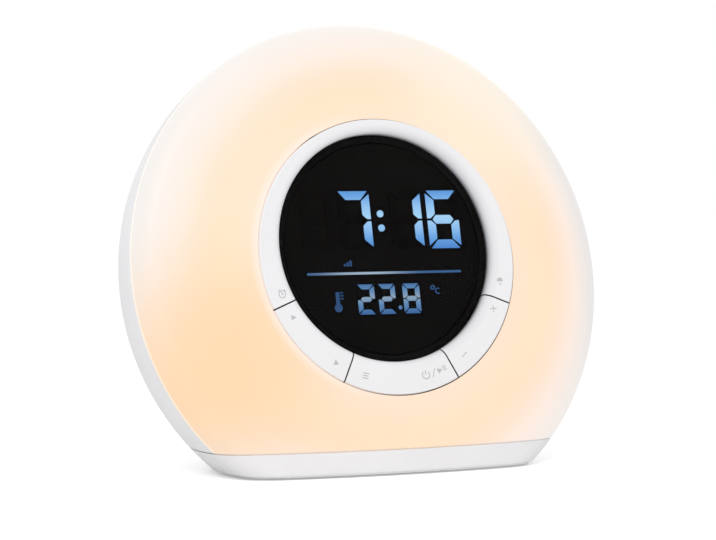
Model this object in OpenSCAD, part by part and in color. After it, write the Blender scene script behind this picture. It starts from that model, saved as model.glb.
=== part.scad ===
// Sunrise alarm clock: a leaning, glowing disc on a flat base, with a clock window and a ring of rocker keys.
// Row frame: X to the right, Y to the back, Z up, millimetres. The origin is on the table, under the middle.

/* [Body] */
// Radius of the glowing face at the seam
body_r = 91.8; // [88:0.2:96]
// Backward lean of the whole face, in degrees
lean = 13.5; // [10:0.5:17]
// Height of the face's centre above the table
centre_z = 70.4; // [69:0.1:72]
// Radius of the shallow dome of the front
dome_r = 300; // [280:5:340]
// Height of the dome's middle in front of the seam
dome_rise = 20.9; // [20.5:0.1:21.2]
// Radius of the flat middle of the back
back_r = 39.5; // [39:0.5:42]
// Radius of the rounding behind the seam
side_r = 65.5; // [62:0.5:68]
// Angle of that rounding, before the tighter one round the back
side_deg = 50; // [40:1:56]
// Wall of the translucent front
diffuser_wall = 2.2; // [1.8:0.1:2.4]
// Wall of the white rear housing
rear_wall = 2.4; // [2:0.1:2.6]
// Width of the shadow line along the seams
seam_line = 0.5; // [0.3:0.1:0.8]

/* [Clock window] */
// Height of the window's centre above the face's centre
window_up = 6.3; // [5.9:0.1:6.6]
// Radius of the smoked lens
lens_r = 41; // [40.6:0.1:41.1]
// Distance of the clock's datum in front of the seam
clock_n = 2.66; // [2.4:0.02:2.9]
// Outer face of the lens, in front of the clock's datum
lens_n = 12.2; // [12:0.1:12.3]
// Thickness of the lens
lens_t = 1.6; // [1.4:0.1:1.7]
// Height of a time digit
digit_h = 21.2; // [19:0.2:21.4]
// Width of a time digit
digit_w = 12.6; // [11:0.2:12.6]
// Stroke of a time digit
digit_stroke = 3.1; // [2.4:0.1:3.4]
// Height of a temperature digit
small_h = 10.8; // [9:0.2:11]
// Width of a temperature digit
small_w = 6.6; // [5.6:0.1:6.8]
// Length of the line between time and temperature
rule_len = 61; // [54:1:62]

/* [Key ring] */
// Height of the ring's centre above the face's centre
ring_up = 2.7; // [2.5:0.1:2.9]
// Width of the ring of keys, from the lens to its outer edge
ring_w = 8.92; // [8.6:0.02:9.1]
// Flat face of the ring, in front of the clock's datum
ring_n = 14.8; // [14.6:0.1:15.2]
// Gap between the lens and the keys
window_gap = 0.45; // [0.4:0.05:0.7]
// Width of the keys' rounded edge round the window
round_w = 3.15; // [2.5:0.05:3.5]
// Gap between two neighbouring keys
key_gap = 0.4; // [0.35:0.05:0.6]
// Gap between the ring and the glowing face
ring_gap = 0.38; // [0.35:0.05:0.6]
// Radius of the rocker pins
pin_r = 0.8; // [0.7:0.05:0.85]
// Running clearance of the rocker pins
pin_clear = 0.06; // [0.04:0.01:0.09]
// Travel of a key's post until its switch is fully down
key_travel = 0.27; // [0.25:0.01:0.32]

/* [Base] */
// Height of the seam between base and body
base_top = 9.6; // [9.5:0.1:10.2]
// Underside of the base above the table
base_low = 0.8; // [0.6:0.1:1]
// Thickness of the base's floor
floor_t = 2.4; // [2:0.1:2.6]
// Height of the base's lip inside the body
lip_h = 3; // [2:0.2:3.2]
// Radius of a rubber foot
foot_r = 4.5; // [4:0.1:4.8]
// Radius of the battery cap
cap_r = 13; // [12.8:0.1:13.4]
// Radius of the coin cell
cell_r = 10; // [9.8:0.05:10]
// Thickness of the coin cell
cell_t = 3.2; // [2.5:0.1:3.2]

/* [Speaker] */
// Height of the speaker's centre above the face's centre
speaker_up = 8; // [7:0.5:9]
// Outer radius of the speaker's flange
speaker_r = 29; // [28:0.2:29.2]
// Radius of the perforated disc
grille_r = 27.4; // [27:0.1:27.6]
// Radius of one hole of the grille
grille_hole_r = 1.15; // [0.8:0.05:1.3]
// Distance between rows of grille holes
grille_pitch = 4.4; // [3.8:0.1:4.6]
// Number of rings of grille holes
grille_rings = 5; // [3:1:5]
// Radius of the speaker's magnet
magnet_r = 14.5; // [12:0.5:15]

/* [Electronics] */
// Number of light sources
led_count = 21; // [11:2:23]
// Gap between the glowing face's opening and the light board
led_gap = 10.5; // [9:0.1:11]
// Width of the main board
board_w = 84; // [80:1:88]
// Height of the main board
board_h = 60; // [56:1:62]
// Radius of the power inlet's bore
jack_bore_r = 2.85; // [2.5:0.05:3]
// Radius of the power inlet's centre pin
jack_pin_r = 1; // [0.8:0.05:1.1]

/* [Fasteners] */
// Radius of the shank of a case screw
case_screw_r = 1.45; // [1.3:0.05:1.45]
// Radius of the head of a case screw
case_head_r = 2.9; // [2.6:0.1:3]
// Radius of the shank of a board screw
board_screw_r = 0.95; // [0.8:0.05:0.95]

/* [Hidden] */
$fn = 96;
eps = 0.01;
white = [0.93, 0.93, 0.93];
black = [0.05, 0.05, 0.055];
dome_c = dome_r - dome_rise;
rim_roll = (dome_r * dome_r - dome_c * dome_c - body_r * body_r) / (2 * (dome_r - body_r));
rim_deg = asin((body_r - rim_roll) / (dome_r - rim_roll));
edge_shift = (back_r - (body_r - side_r)) / cos(side_deg);
edge_r = side_r - edge_shift;
edge_c = edge_shift * sin(side_deg);
back_depth = edge_c + edge_r;
back_out = -back_depth - 5;
low_h = centre_z - base_low - step_h();
front_y = dome_c * cos(lean) - sqrt(dome_r * dome_r - pow(dome_c * sin(lean) - low_h, 2));
back_y = back_r * sin(lean) + edge_c * cos(lean) + edge_r;
centre_y = -(front_y + back_y) / 2;
win_off = window_up - ring_up;
ring_r = lens_r + ring_w;
key_in_r = lens_r + window_gap;
bevel_r = key_in_r + round_w;
hole_r = ring_r + ring_gap;
// levels in front of the clock's datum, from the lens down to its board
lens_under = lens_n - lens_t;
gasket_t = 0.4;
wall_in_top = lens_under - gasket_t;
key_low = 10.2;
wall_out_top = 9.4;
frame_low = 1.4;
frame_floor = 3;
board_t = 1.6;
block_top = 9.9;
pivot_n = 7.6;
switch_top = 4.9;
plunger_top = 6.4;
// levels behind the seam
chassis_n = -3;
chassis_t = 2;
chassis_back = chassis_n - chassis_t;
main_front = chassis_back - 6;
main_back = main_front - board_t;
wall_n = -(back_depth - rear_wall);
lead_n = wall_n + 11.6;
// keys: end angles, middle, and the angle of the switches on either side of it
top_ends = [-21.6, 201.6];
left_ends = [201.6, 243.2];
bottom_ends = [243.2, 296.8];
right_ends = [296.8, 338.4];
lower_switch = 14;
bottom_switch = 18;
top_switch = 106.5;
switch_r = ring_r - 5.52;
all_switches = [for (k = [[mid(top_ends), top_switch], [mid(left_ends), lower_switch],
                          [mid(bottom_ends), bottom_switch], [mid(right_ends), lower_switch]],
                     s = [-1, 1]) k[0] + s * k[1]];
all_mids = [mid(top_ends), mid(left_ends), mid(bottom_ends), mid(right_ends)];
case_angles = [40, 140, 205, 335];
case_r = body_r - 11;
case_seat = -14;
ear_angles = [45, 135, 225, 315];
ear_r = hole_r + 4.2;
frame_screws = [[35, ring_r - 4.6], [145, ring_r - 4.6], [mid(left_ends), ring_r - 6.5],
                [mid(right_ends), ring_r - 6.5]];
led_angles = [for (i = [0:led_count - 1]) -41 + i * 262 / (led_count - 1)];
led_screw_angles = [14, 76, 104, 166];
led_out_r = case_r - 4.6;
led_in_r = hole_r + led_gap;
led_ring_r = (led_in_r + led_out_r) / 2;
led_screw_r = led_out_r - 2.6;
speaker_screw_at = speaker_r + 2.5;
speaker_pin_at = speaker_r - 0.8;
base_spots = [for (s = [-1, 1]) each [[s * (body_r - 38.8), 3], [s * (body_r - 55.8), 17]]];
foot_spots = [for (s = [-1, 1]) each [[s * (body_r - 47.8), -14], [s * (body_r - 67.8), 31]]];
sensor_x = -(body_r - 53.8);
base_seat = 4.2;
cap_off = 2;
floor_top = base_low + floor_t;
cell_low = 4.6;
cell_top = cell_low + cell_t;
contact_t = 0.3;
jack_up = -34;

function step_h() = 0.7;
function mid(e) = (e[0] + e[1]) / 2;
// distance from the ring's centre, at angle a, to a circle of radius r round the window's centre
function from_ring(a, r) = win_off * sin(a) + sqrt(r * r - pow(win_off * cos(a), 2));

// ---- frames and helpers ----

// the leaned frame: x to the right, y up the face, z forward out of the face
module on_face() { translate([0, centre_y, centre_z]) rotate([90 - lean, 0, 0]) children(); }
module on_ring() { on_face() translate([0, ring_up, clock_n]) children(); }
module on_window() { on_face() translate([0, window_up, clock_n]) children(); }
module on_speaker() { on_face() translate([0, speaker_up, 0]) children(); }
module on_table() { translate([0, centre_y, 0]) children(); }
module slab(low, high) { translate([-150, -150, low]) cube([300, 300, high - low]); }
module polar(a, r) { rotate([0, 0, a]) translate([r, 0, 0]) children(); }
module disc(r, low, high) { translate([0, 0, low]) cylinder(r = r, h = high - low); }
module annulus(r1, r2, low, high) {
  translate([0, 0, low]) difference() {
    cylinder(r = r2, h = high - low);
    translate([0, 0, -1]) cylinder(r = r1, h = high - low + 2);
  }
}
module block(w, h, low, high) { translate([-w / 2, -h / 2, low]) cube([w, h, high - low]); }
// a wedge between two angles
module sector(a0, a1, low, high) {
  n = ceil((a1 - a0) / 60);
  translate([0, 0, low]) linear_extrude(height = high - low)
    polygon(concat([[0, 0]], [for (i = [0:n]) let (a = a0 + (a1 - a0) * i / n) 120 * [cos(a), sin(a)]]));
}
// a screw with its head under z = 0 and its shank up along z
module screw(shank, length, head, head_h, drive) {
  difference() {
    union() {
      cylinder(r = shank, h = length - shank);
      translate([0, 0, length - shank]) cylinder(r1 = shank, r2 = shank * 0.3, h = shank);
      translate([0, 0, -head_h * 0.6]) cylinder(r = head, h = head_h * 0.6);
      translate([0, 0, -head_h]) cylinder(r1 = head * 0.7, r2 = head, h = head_h * 0.4);
    }
    for (a = [0, 90]) rotate([0, 0, a]) translate([-head * 0.55, -drive / 2, -head_h - 1])
      cube([head * 1.1, drive, 1 + head_h * 0.55]);
  }
}
// a round wire through a list of points
module wire(points, r) {
  for (p = points) translate(p) sphere(r = r * 1.04, $fn = 32);
  for (i = [0:len(points) - 2]) {
    d = points[i + 1] - points[i];
    translate(points[i])
      rotate([0, acos(d[2] / norm(d)), atan2(d[1], d[0])])
        cylinder(r = r, h = norm(d), $fn = 32);
  }
}

// ---- the outer form, inset by o ----

// points of an arc round (cx, cy)
function arc(cx, cy, r, from, to, n) =
  [for (i = [0:n]) let (a = from + (to - from) * i / n) [cx + r * cos(a), cy + r * sin(a)]];
// half profile: flat back, tight rounding, wide rounding up to the seam, rim roll and dome
function outline(o) = concat(
  [[0, -(back_depth - o)]],
  arc(back_r, -edge_c, edge_r - o, -90, -side_deg, 16),
  arc(body_r - side_r, 0, side_r - o, -side_deg * 13 / 14, 0, 13),
  arc(body_r - rim_roll, 0, rim_roll - o, 0, 90 - rim_deg, 9),
  arc(0, -dome_c, dome_r - o, 90 - rim_deg, 90, 12));
module form(o = 0) { rotate_extrude() polygon(outline(o)); }

// ---- case ----

module diffuser() {
  color([1, 0.93, 0.82]) difference() {
    union() {
      intersection() {
        slab(base_top, 300);
        on_face() difference() {
          intersection() { form(); disc(body_r + 5, 0, 40); }
          form(diffuser_wall);
          translate([0, ring_up, 0]) disc(hole_r, -1, 40);
        }
      }
      // lip that reaches into the rear housing
      intersection() {
        slab(base_top + lip_h + 0.4, 300);
        on_face() union() {
          annulus(body_r - 4.4, body_r - 2.9, chassis_n, 1.5);
          intersection() {
            annulus(body_r - 4.4, body_r + 1, 0, 1.5);
            form(1);
          }
        }
      }
      // sleeve round the clock, its screw bosses, and the bosses of the case screws
      on_face() intersection() {
        form(diffuser_wall / 2);
        union() {
          translate([0, ring_up, 0]) {
            annulus(hole_r, hole_r + 1.6, clock_n + frame_floor, 30);
            difference() {
              for (a = ear_angles) polar(a, ear_r) disc(3, clock_n + frame_floor, 30);
              disc(hole_r, 0, 31);
            }
          }
          for (a = case_angles) polar(a, case_r) disc(3.5, chassis_n, 20);
        }
      }
    }
    on_ring() for (a = ear_angles) polar(a, ear_r) disc(1.1, frame_floor - 1, 9.5);
    on_face() for (a = case_angles) polar(a, case_r) disc(case_screw_r + 0.05, chassis_n - 1, 3.5);
  }
}

module rear_housing() {
  color(white) difference() {
    union() {
      intersection() {
        slab(base_top, 300);
        on_face() difference() {
          intersection() { form(); disc(body_r + 5, back_out, 0); }
          form(rear_wall);
        }
      }
      // case screw bosses, speaker bosses
      on_face() intersection() {
        form(rear_wall / 2);
        union() {
          for (a = case_angles) polar(a, case_r) disc(4.6, -back_depth, chassis_back);
          translate([0, speaker_up, 0])
            for (a = [0:90:270]) polar(a, speaker_screw_at) disc(2.6, wall_n - 1, wall_n + 0.8);
        }
      }
      // bosses and ribs that take the base screws
      intersection() {
        on_face() form(rear_wall / 2);
        union() {
          on_table() for (p = base_spots) translate([p[0], p[1], base_top]) cylinder(r = 3.6, h = 12);
          on_table() for (p = base_spots)
            translate([p[0] > 0 ? p[0] : p[0] - body_r, p[1] - 1.2, base_top + lip_h + 0.4])
              cube([body_r, 2.4, 12 - lip_h - 0.4]);
        }
      }
    }
    on_face() {
      // shadow line along the seam
      annulus(body_r - 0.8, body_r + 2, -seam_line, 1);
      for (a = case_angles) polar(a, case_r) {
        disc(case_screw_r + 0.25, back_out, 0);
        disc(case_head_r + 0.5, back_out, case_seat);
      }
      translate([0, speaker_up, 0]) {
        disc(grille_r - 1.9, back_out, back_out + 15);
        disc(grille_r + 0.3, back_out, -back_depth + 1.6);
        for (a = [0:90:270]) polar(a, speaker_screw_at) disc(1.05, wall_n - 1.7, wall_n + 3);
      }
      translate([0, jack_up, 0]) disc(4.3, back_out, back_out + 15);
      // air slots on either side of the power inlet
      for (s = [-1, 1], i = [0:2])
        translate([s * 19, jack_up + 10.5 - i * 4.2, 0]) block(14, 1.8, back_out, back_out + 15);
    }
    on_table() for (p = base_spots) translate([p[0], p[1], 0])
      disc(case_screw_r + 0.05, base_top - 1, base_top + 9);
  }
}

module base() {
  color(white) difference() {
    union() {
      difference() {
        intersection() { slab(base_low + step_h(), base_top); on_face() form(); }
        intersection() { slab(floor_top, base_top + 1); on_face() form(4.2); }
      }
      intersection() { slab(base_low, base_low + step_h()); on_face() form(0.7); }
      difference() {
        intersection() { slab(base_top - 1, base_top + lip_h); on_face() form(rear_wall + 0.3); }
        on_face() form(4.2);
      }
      on_table() {
        for (p = base_spots) translate([p[0], p[1], 0]) disc(4.8, floor_top - 1, base_top);
        translate([0, cap_off, 0]) disc(cap_r + 3.6, floor_top - 1, cell_top + contact_t + 1.2);
      }
    }
    // shadow line under the body
    intersection() {
      slab(base_top - seam_line, base_top);
      on_face() difference() { disc(body_r + 10, back_out, 40); form(0.8); }
    }
    on_table() {
      for (p = foot_spots) translate([p[0], p[1], 0]) disc(foot_r + 0.2, 0, base_low + 1);
      for (p = base_spots) translate([p[0], p[1], 0]) {
        disc(case_screw_r + 0.25, 0, 20);
        disc(case_head_r + 0.5, 0, base_seat);
      }
      translate([0, cap_off, 0]) {
        // battery well: cap opening, lug space and cell pocket
        rotate_extrude() polygon([[0, 0], [cap_r + 0.35, 0], [cap_r + 0.35, floor_top],
          [cap_r + 2.1, floor_top], [cap_r + 2.1, cell_low], [cell_r + 0.35, cell_low],
          [cell_r + 0.35, cell_top + contact_t], [0, cell_top + contact_t]]);
        // entry notches of the bayonet lugs
        for (a = [-50, 130]) rotate([0, 0, a - 16]) rotate_extrude(angle = 32)
          square([cap_r + 1.95, floor_top + 0.7]);
        // pocket of the side contact
        translate([cell_r - 1, -2, cell_low - 0.5]) cube([3.2, 4, cell_t + 0.1]);
      }
      // air slots under the temperature sensor
      for (i = [0:3]) translate([sensor_x - 7, -4.5 + i * 3.2, 0]) cube([14, 1.4, floor_top + 1]);
    }
  }
}

module rubber_feet() {
  color([0.2, 0.2, 0.21]) on_table() for (p = foot_spots) translate([p[0], p[1], 0]) {
    cylinder(r1 = foot_r - 0.3, r2 = foot_r, h = 0.3);
    disc(foot_r, 0.3, base_low + 1);
  }
}

// ---- clock window ----

module window_lens() {
  color([0.05, 0.05, 0.06, 0.5]) on_window() union() {
    disc(lens_r, lens_under, lens_n - 0.25);
    translate([0, 0, lens_n - 0.25]) cylinder(r1 = lens_r, r2 = lens_r - 0.25, h = 0.25);
  }
}

module display_gasket() {
  color(black) on_window() annulus(lens_r - 2.1, lens_r - 0.3, wall_in_top, lens_under);
}

module display_frame() {
  color(black) difference() {
    on_ring() difference() {
      union() {
        annulus(ring_r - 2, ring_r - 0.02, frame_low, wall_out_top);
        intersection() {
          disc(hole_r + 12, frame_low, frame_floor);
          union() {
            disc(hole_r + 2.1, 0, 5);
            for (a = ear_angles) polar(a, ear_r) disc(3.4, -1, 6);
          }
        }
        translate([0, win_off, 0]) disc(lens_r - 0.3, frame_low, wall_in_top);
        for (s = frame_screws) polar(s[0], s[1]) disc(2.2, frame_floor - 1, 5.2);
      }
      translate([0, win_off, 0]) disc(lens_r - 2.1, 0, 20);
      for (a = all_switches) polar(a, switch_r) block(6.4, 6.4, 0, frame_floor + 1);
      for (a = ear_angles) polar(a, ear_r) disc(1.2, 0, 10);
      for (s = frame_screws) polar(s[0], s[1]) disc(board_screw_r + 0.05, 0, 5.0);
      // snap-in bearings of the rocker pins
      for (a = all_mids) rotate([0, 0, a]) {
        translate([34, 0, pivot_n]) rotate([0, 90, 0]) cylinder(r = pin_r + pin_clear, h = 20);
        translate([34, -pin_r * 0.8, pivot_n]) cube([20, pin_r * 1.6, 6]);
      }
    }
  }
}

module display_block() {
  color([0.09, 0.09, 0.1]) on_window() union() {
    disc(lens_r - 2.5, frame_low, block_top - 0.5);
    translate([0, 0, block_top - 0.5]) cylinder(r1 = lens_r - 2.5, r2 = lens_r - 3, h = 0.5);
  }
}

// one bar of a seven-bar digit: s in "abcdefg", cell w by h, stroke t, centred
module bar(s, w, h, t) {
  g = t * 0.1;
  horizontal = s == "a" || s == "g" || s == "d";
  if (horizontal) {
    y = s == "a" ? h / 2 - t / 2 : s == "d" ? -h / 2 + t / 2 : 0;
    top = s == "d" ? w / 2 - t : s == "g" ? w / 2 - t : w / 2 - t * 0.1;
    low = s == "a" ? w / 2 - t : s == "g" ? w / 2 - t : w / 2 - t * 0.1;
    if (s == "g")
      translate([0, y]) polygon([[-w / 2 + t * 0.6 + g, 0], [-top + g, t / 2], [top - g, t / 2],
        [w / 2 - t * 0.6 - g, 0], [low - g, -t / 2], [-low + g, -t / 2]]);
    else
      translate([0, y]) polygon([[-top + g, t / 2], [top - g, t / 2], [low - g, -t / 2],
        [-low + g, -t / 2]]);
  } else {
    side = s == "b" || s == "c" ? 1 : -1;
    up = s == "b" || s == "f" ? 1 : -1;
    scale_y = up;
    points = [[w / 2, h / 2 - t * 0.25 - g], [w / 2, g * 1.3], [w / 2 - t * 0.45, g * 1.6],
              [w / 2 - t, t * 0.55 + g], [w / 2 - t, h / 2 - t - g * 1.5]];
    polygon([for (p = points) [side * p[0], scale_y * p[1]]]);
  }
}
module digit(bars, w, h, t) {
  translate([0, 0, block_top]) linear_extrude(height = 0.35)
    for (i = [0:len(bars) - 1]) bar(bars[i], w, h, t);
}
// where the digits stand: centre x, centre y, lit bars, dark bars
digit_x = lens_r * 0.6;
digit_step = digit_w + 2.3;
time_digits = [[-digit_x, 10.3, "", "abcdefg"], [-digit_x + digit_step, 10.3, "abc", "defg"],
               [digit_x + 1 - digit_step, 10.3, "bc", "adefg"], [digit_x + 1, 10.3, "acdefg", "b"]];
heat_digits = [[-8.4, -18.4, "abged", "cf"], [-0.2, -18.4, "abged", "cf"],
               [9.6, -18.4, "abcdefg", ""]];

module lit_segments() {
  color([0.62, 0.85, 1]) on_window() {
    for (d = time_digits) if (len(d[2]) > 0)
      translate([d[0], d[1], 0]) digit(d[2], digit_w, digit_h, digit_stroke);
    for (d = heat_digits) if (len(d[2]) > 0)
      translate([d[0], d[1], 0]) digit(d[2], small_w, small_h, digit_stroke * 0.55);
    for (y = [12.6, 7.4]) translate([0.5, y, 0]) disc(1.25, block_top, block_top + 0.35);
    translate([4.7, -21.6, 0]) disc(0.7, block_top, block_top + 0.35);
    translate([0, -8.9, 0]) block(rule_len, 0.8, block_top, block_top + 0.35);
    // thermometer: bulb and stem
    translate([-19.6, -21.2, 0]) disc(1.5, block_top, block_top + 0.35);
    translate([-19.6, -18, 0]) block(1.3, 5, block_top, block_top + 0.35);
    // degree ring
    translate([18.4, -14.6, 0]) annulus(0.45, 0.9, block_top, block_top + 0.35);
  }
}

module dark_segments() {
  color([0.13, 0.14, 0.16]) on_window() {
    for (d = time_digits) if (len(d[3]) > 0)
      translate([d[0], d[1], 0]) digit(d[3], digit_w, digit_h, digit_stroke);
    for (d = heat_digits) if (len(d[3]) > 0)
      translate([d[0], d[1], 0]) digit(d[3], small_w, small_h, digit_stroke * 0.55);
  }
}

// ---- ring of keys ----

// a key between two angles, with posts at its switches and a rocker pin at its middle
module key(ends, away) {
  m = mid(ends);
  in_r = from_ring(m, lens_r - 0.3) + 0.5;
  out_r = ring_r - 2.5;
  round_h = ring_n - lens_n - 0.15;
  c = 0.35;
  on_ring() difference() {
    union() {
      difference() {
        intersection() {
          rotate_extrude() polygon([[0, key_low], [ring_r, key_low], [ring_r, ring_n - c],
                                    [ring_r - c, ring_n], [0, ring_n]]);
          sector(ends[0], ends[1], 0, 20);
        }
        // hollow underside
        difference() {
          intersection() {
            disc(ring_r - 1.4, key_low - 1, 12.6);
            sector(ends[0] + 2, ends[1] - 2, 0, 20);
          }
          translate([0, win_off, 0]) disc(key_in_r + 1.4, 0, 20);
        }
      }
      // posts over the switches, with a rib across the hollow
      for (s = [-1, 1]) polar(m + s * away, switch_r) {
        disc(1.3, plunger_top + key_travel, 13);
        translate([0.4, 0, 0]) block(5, 1.2, key_low, 13);
      }
      // rocker block and its two pins
      rotate([0, 0, m]) {
        translate([in_r, -2, pivot_n - 1.2]) cube([out_r - in_r, 4, 13 - pivot_n + 1.2]);
        translate([in_r - 1.6, 0, pivot_n]) rotate([0, 90, 0])
          cylinder(r = pin_r, h = out_r - in_r + 3.2);
      }
    }
    // window opening and its rounded edge
    translate([0, win_off, 0]) rotate_extrude()
      polygon(concat([[0, key_low - eps], [key_in_r, key_low - eps]],
        [for (t = [0:15:75]) [bevel_r - round_w * cos(t), ring_n - round_h * (1 - sin(t))]],
        [[bevel_r + round_w * cos(75), ring_n + round_h * (1 - sin(75))],
         [bevel_r + round_w * cos(75), ring_n + 1], [0, ring_n + 1]]));
    for (a = ends) rotate([0, 0, a]) translate([lens_r - 10, -key_gap / 2, 0])
      cube([ring_w + 15, key_gap, ring_n + 5]);
  }
}
module top_key() { color(white) key(top_ends, top_switch); }
module left_key() { color(white) key(left_ends, lower_switch); }
module bottom_key() { color(white) key(bottom_ends, bottom_switch); }
module right_key() { color(white) key(right_ends, lower_switch); }

// ---- boards behind the ring ----

module display_board() {
  color([0.06, 0.28, 0.16]) on_ring() difference() {
    disc(ring_r - 1.4, frame_low - board_t, frame_low);
    for (s = frame_screws) polar(s[0], s[1]) disc(board_screw_r + 0.2, -5, 5);
  }
}
module switch_bodies() {
  color([0.12, 0.12, 0.13]) on_ring() for (a = all_switches) polar(a, switch_r) difference() {
    block(6, 6, frame_low, switch_top);
    disc(1.9, switch_top - 1.2, switch_top + 1);
  }
}
module switch_plungers() {
  color([0.75, 0.75, 0.74]) on_ring() for (a = all_switches) polar(a, switch_r) {
    disc(1.7, switch_top - 1.2, plunger_top - 0.2);
    translate([0, 0, plunger_top - 0.2]) cylinder(r1 = 1.7, r2 = 1.5, h = 0.2);
  }
}

module light_chassis() {
  color([0.97, 0.97, 0.95]) difference() {
    intersection() {
      slab(base_top + lip_h + 0.4, 300);
      on_face() union() {
        disc(body_r - 3.2, chassis_back, chassis_n);
        translate([0, ring_up, 0]) annulus(ring_r - 0.7, ring_r + 0.7, chassis_n - 1, clock_n + frame_low - 0.3);
        for (x = [-1, 1], y = [-1, 1]) translate([x * (board_w / 2 - 4), 8 + y * (board_h / 2 - 4), 0])
          disc(3, main_front, chassis_back + 1);
        for (a = led_screw_angles) polar(a, led_screw_r) disc(2.4, chassis_back - 4, chassis_back + 1);
      }
    }
    on_face() {
      for (a = case_angles) polar(a, case_r) disc(case_screw_r + 0.3, -10, 0);
      for (x = [-1, 1], y = [-1, 1]) translate([x * (board_w / 2 - 4), 8 + y * (board_h / 2 - 4), 0])
        disc(board_screw_r + 0.05, main_front - 1, chassis_back);
      for (a = led_screw_angles) polar(a, led_screw_r) disc(board_screw_r + 0.05, chassis_back - 3, 0);
      // slots for the ribbon and for the leads of the light board
      translate([0, 20, 0]) block(26, 6, -10, 0);
      translate([0, hole_r + 5.7, 0]) block(8, 3, -10, 0);
    }
  }
}

module led_board() {
  color([0.92, 0.93, 0.92]) difference() {
    intersection() {
      slab(base_top + lip_h + 1.5, 300);
      on_face() annulus(led_in_r, led_out_r, chassis_n, chassis_n + board_t);
    }
    on_face() for (a = led_screw_angles) polar(a, led_screw_r) disc(board_screw_r + 0.2, -10, 0);
  }
}
module wake_leds() {
  color([1, 0.9, 0.6]) on_face() for (a = led_angles) polar(a, led_ring_r) {
    block(3.5, 3.5, chassis_n + board_t, chassis_n + board_t + 0.7);
    translate([0, 0, chassis_n + board_t + 0.7]) cylinder(r1 = 1.4, r2 = 1.1, h = 0.5);
  }
}

module main_board() {
  color([0.06, 0.28, 0.16]) on_face() difference() {
    translate([0, 8, 0]) block(board_w, board_h, main_back, main_front);
    for (x = [-1, 1], y = [-1, 1]) translate([x * (board_w / 2 - 4), 8 + y * (board_h / 2 - 4), 0])
      disc(board_screw_r + 0.2, -20, 0);
  }
}
module radio_module() {
  color([0.72, 0.73, 0.74]) on_face() translate([-(board_w / 2 - 20), 24, 0]) {
    block(20, 15, main_back - 0.8, main_back);
    translate([2, 0, 0]) block(13, 12, main_back - 2.6, main_back - 0.8);
  }
}
module board_components() {
  color([0.1, 0.1, 0.11]) on_face() {
    translate([8, 22, 0]) block(12, 12, main_back - 1.6, main_back);
    translate([26, -6, 0]) block(8, 8, main_back - 4, main_back);
    translate([31, 15, 0]) disc(4, main_back - 8, main_back);
    translate([22, 30, 0]) disc(3, main_back - 7, main_back);
    translate([-34, -6, 0]) block(7, 9, main_back - 5, main_back);
    translate([10, -14, 0]) block(10, 6, main_back - 5, main_back);
    translate([-12, -12, 0]) block(5, 4, main_back - 1.2, main_back);
    translate([-6, 6, 0]) block(4, 4, main_back - 1, main_back);
  }
}
module ribbon_connectors() {
  color([0.9, 0.88, 0.8]) on_face() translate([0, 20, 0]) {
    block(22, 4, clock_n + frame_low - board_t - 2.2, clock_n + frame_low - board_t);
    block(22, 4, main_front, main_front + 2.2);
  }
}
module ribbon_cable() {
  color([0.85, 0.85, 0.83]) on_face() translate([0, 20, 0])
    block(20, 0.4, main_front + 2.2, clock_n + frame_low - board_t - 2.2);
}

// ---- speaker ----

module speaker_grille() {
  color(white) on_speaker() difference() {
    disc(grille_r, -back_depth, -back_depth + 1.6);
    disc(grille_hole_r, back_out, back_out + 15);
    for (k = [1:grille_rings], i = [0:6 * k - 1])
      polar(i * 60 / k + k * 9, k * grille_pitch) disc(grille_hole_r, back_out, back_out + 15);
  }
}
module speaker_gasket() {
  color(black) on_speaker() annulus(25.6, 28.6, wall_n, wall_n + 0.8);
}
module speaker_basket() {
  f = wall_n + 0.8;
  color([0.3, 0.3, 0.32]) on_speaker() difference() {
    union() {
      rotate_extrude() polygon([[24.6, f], [speaker_r, f], [speaker_r, f + 1.2], [28, f + 1.2],
        [16, f + 14.3], [16, f + 15.5], [8, f + 15.5], [8, f + 14.3], [15, f + 14.3], [27, f + 1.2],
        [24.6, f + 1.2]]);
      for (a = [0:90:270]) polar(a, speaker_screw_at) disc(3, f, f + 1.2);
      for (a = [196, 208]) polar(a, speaker_pin_at) disc(1.2, f + 0.6, f + 3.2);
    }
    for (a = [0:90:270]) polar(a, speaker_screw_at) disc(1.15, f - 1, f + 3);
    for (a = [45:90:315]) rotate([0, 0, a]) translate([16.5, -5, f + 3.4]) cube([14, 10, 8.6]);
  }
}
module speaker_magnet() {
  f = wall_n + 0.8 + 15.5;
  color([0.4, 0.4, 0.42]) on_speaker() rotate_extrude()
    polygon([[0, f], [magnet_r - 1.2, f], [magnet_r - 1.2, f + 1.4], [magnet_r, f + 1.6],
             [magnet_r, f + 6.8], [magnet_r - 1.2, f + 7], [magnet_r - 1.2, f + 8.6], [0, f + 8.6]]);
}
module speaker_surround() {
  f = wall_n + 2;
  color([0.07, 0.07, 0.07]) on_speaker() rotate_extrude() union() {
    translate([19.2, f]) square([1.65, 0.5]);
    translate([24.15, f]) square([2.35, 0.5]);
    intersection() {
      translate([22.5, f + 0.25]) difference() { circle(r = 2.15); circle(r = 1.65); }
      translate([19, f + 0.25]) square([7, 4]);
    }
  }
}
module speaker_cone() {
  f = wall_n + 2.5;
  color([0.16, 0.16, 0.17]) on_speaker() rotate_extrude() union() {
    polygon([[18.6, f], [20.1, f], [20.1, f + 0.5], [19, f + 0.5], [6.9, f + 6.8], [6.9, f + 11.4],
             [6.4, f + 11.4], [6.4, f + 6.2]]);
    intersection() {
      translate([0, f + 13.8]) difference() { circle(r = 10.2); circle(r = 9.7); }
      translate([0, f]) square([6.8, 7.2]);
    }
  }
}
module speaker_screws() {
  color([0.6, 0.6, 0.62]) on_speaker() for (a = [0:90:270]) polar(a, speaker_screw_at)
    translate([0, 0, wall_n + 2]) rotate([180, 0, 0]) screw(1, 3.4, 1.9, 1.3, 0.6);
}
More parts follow.
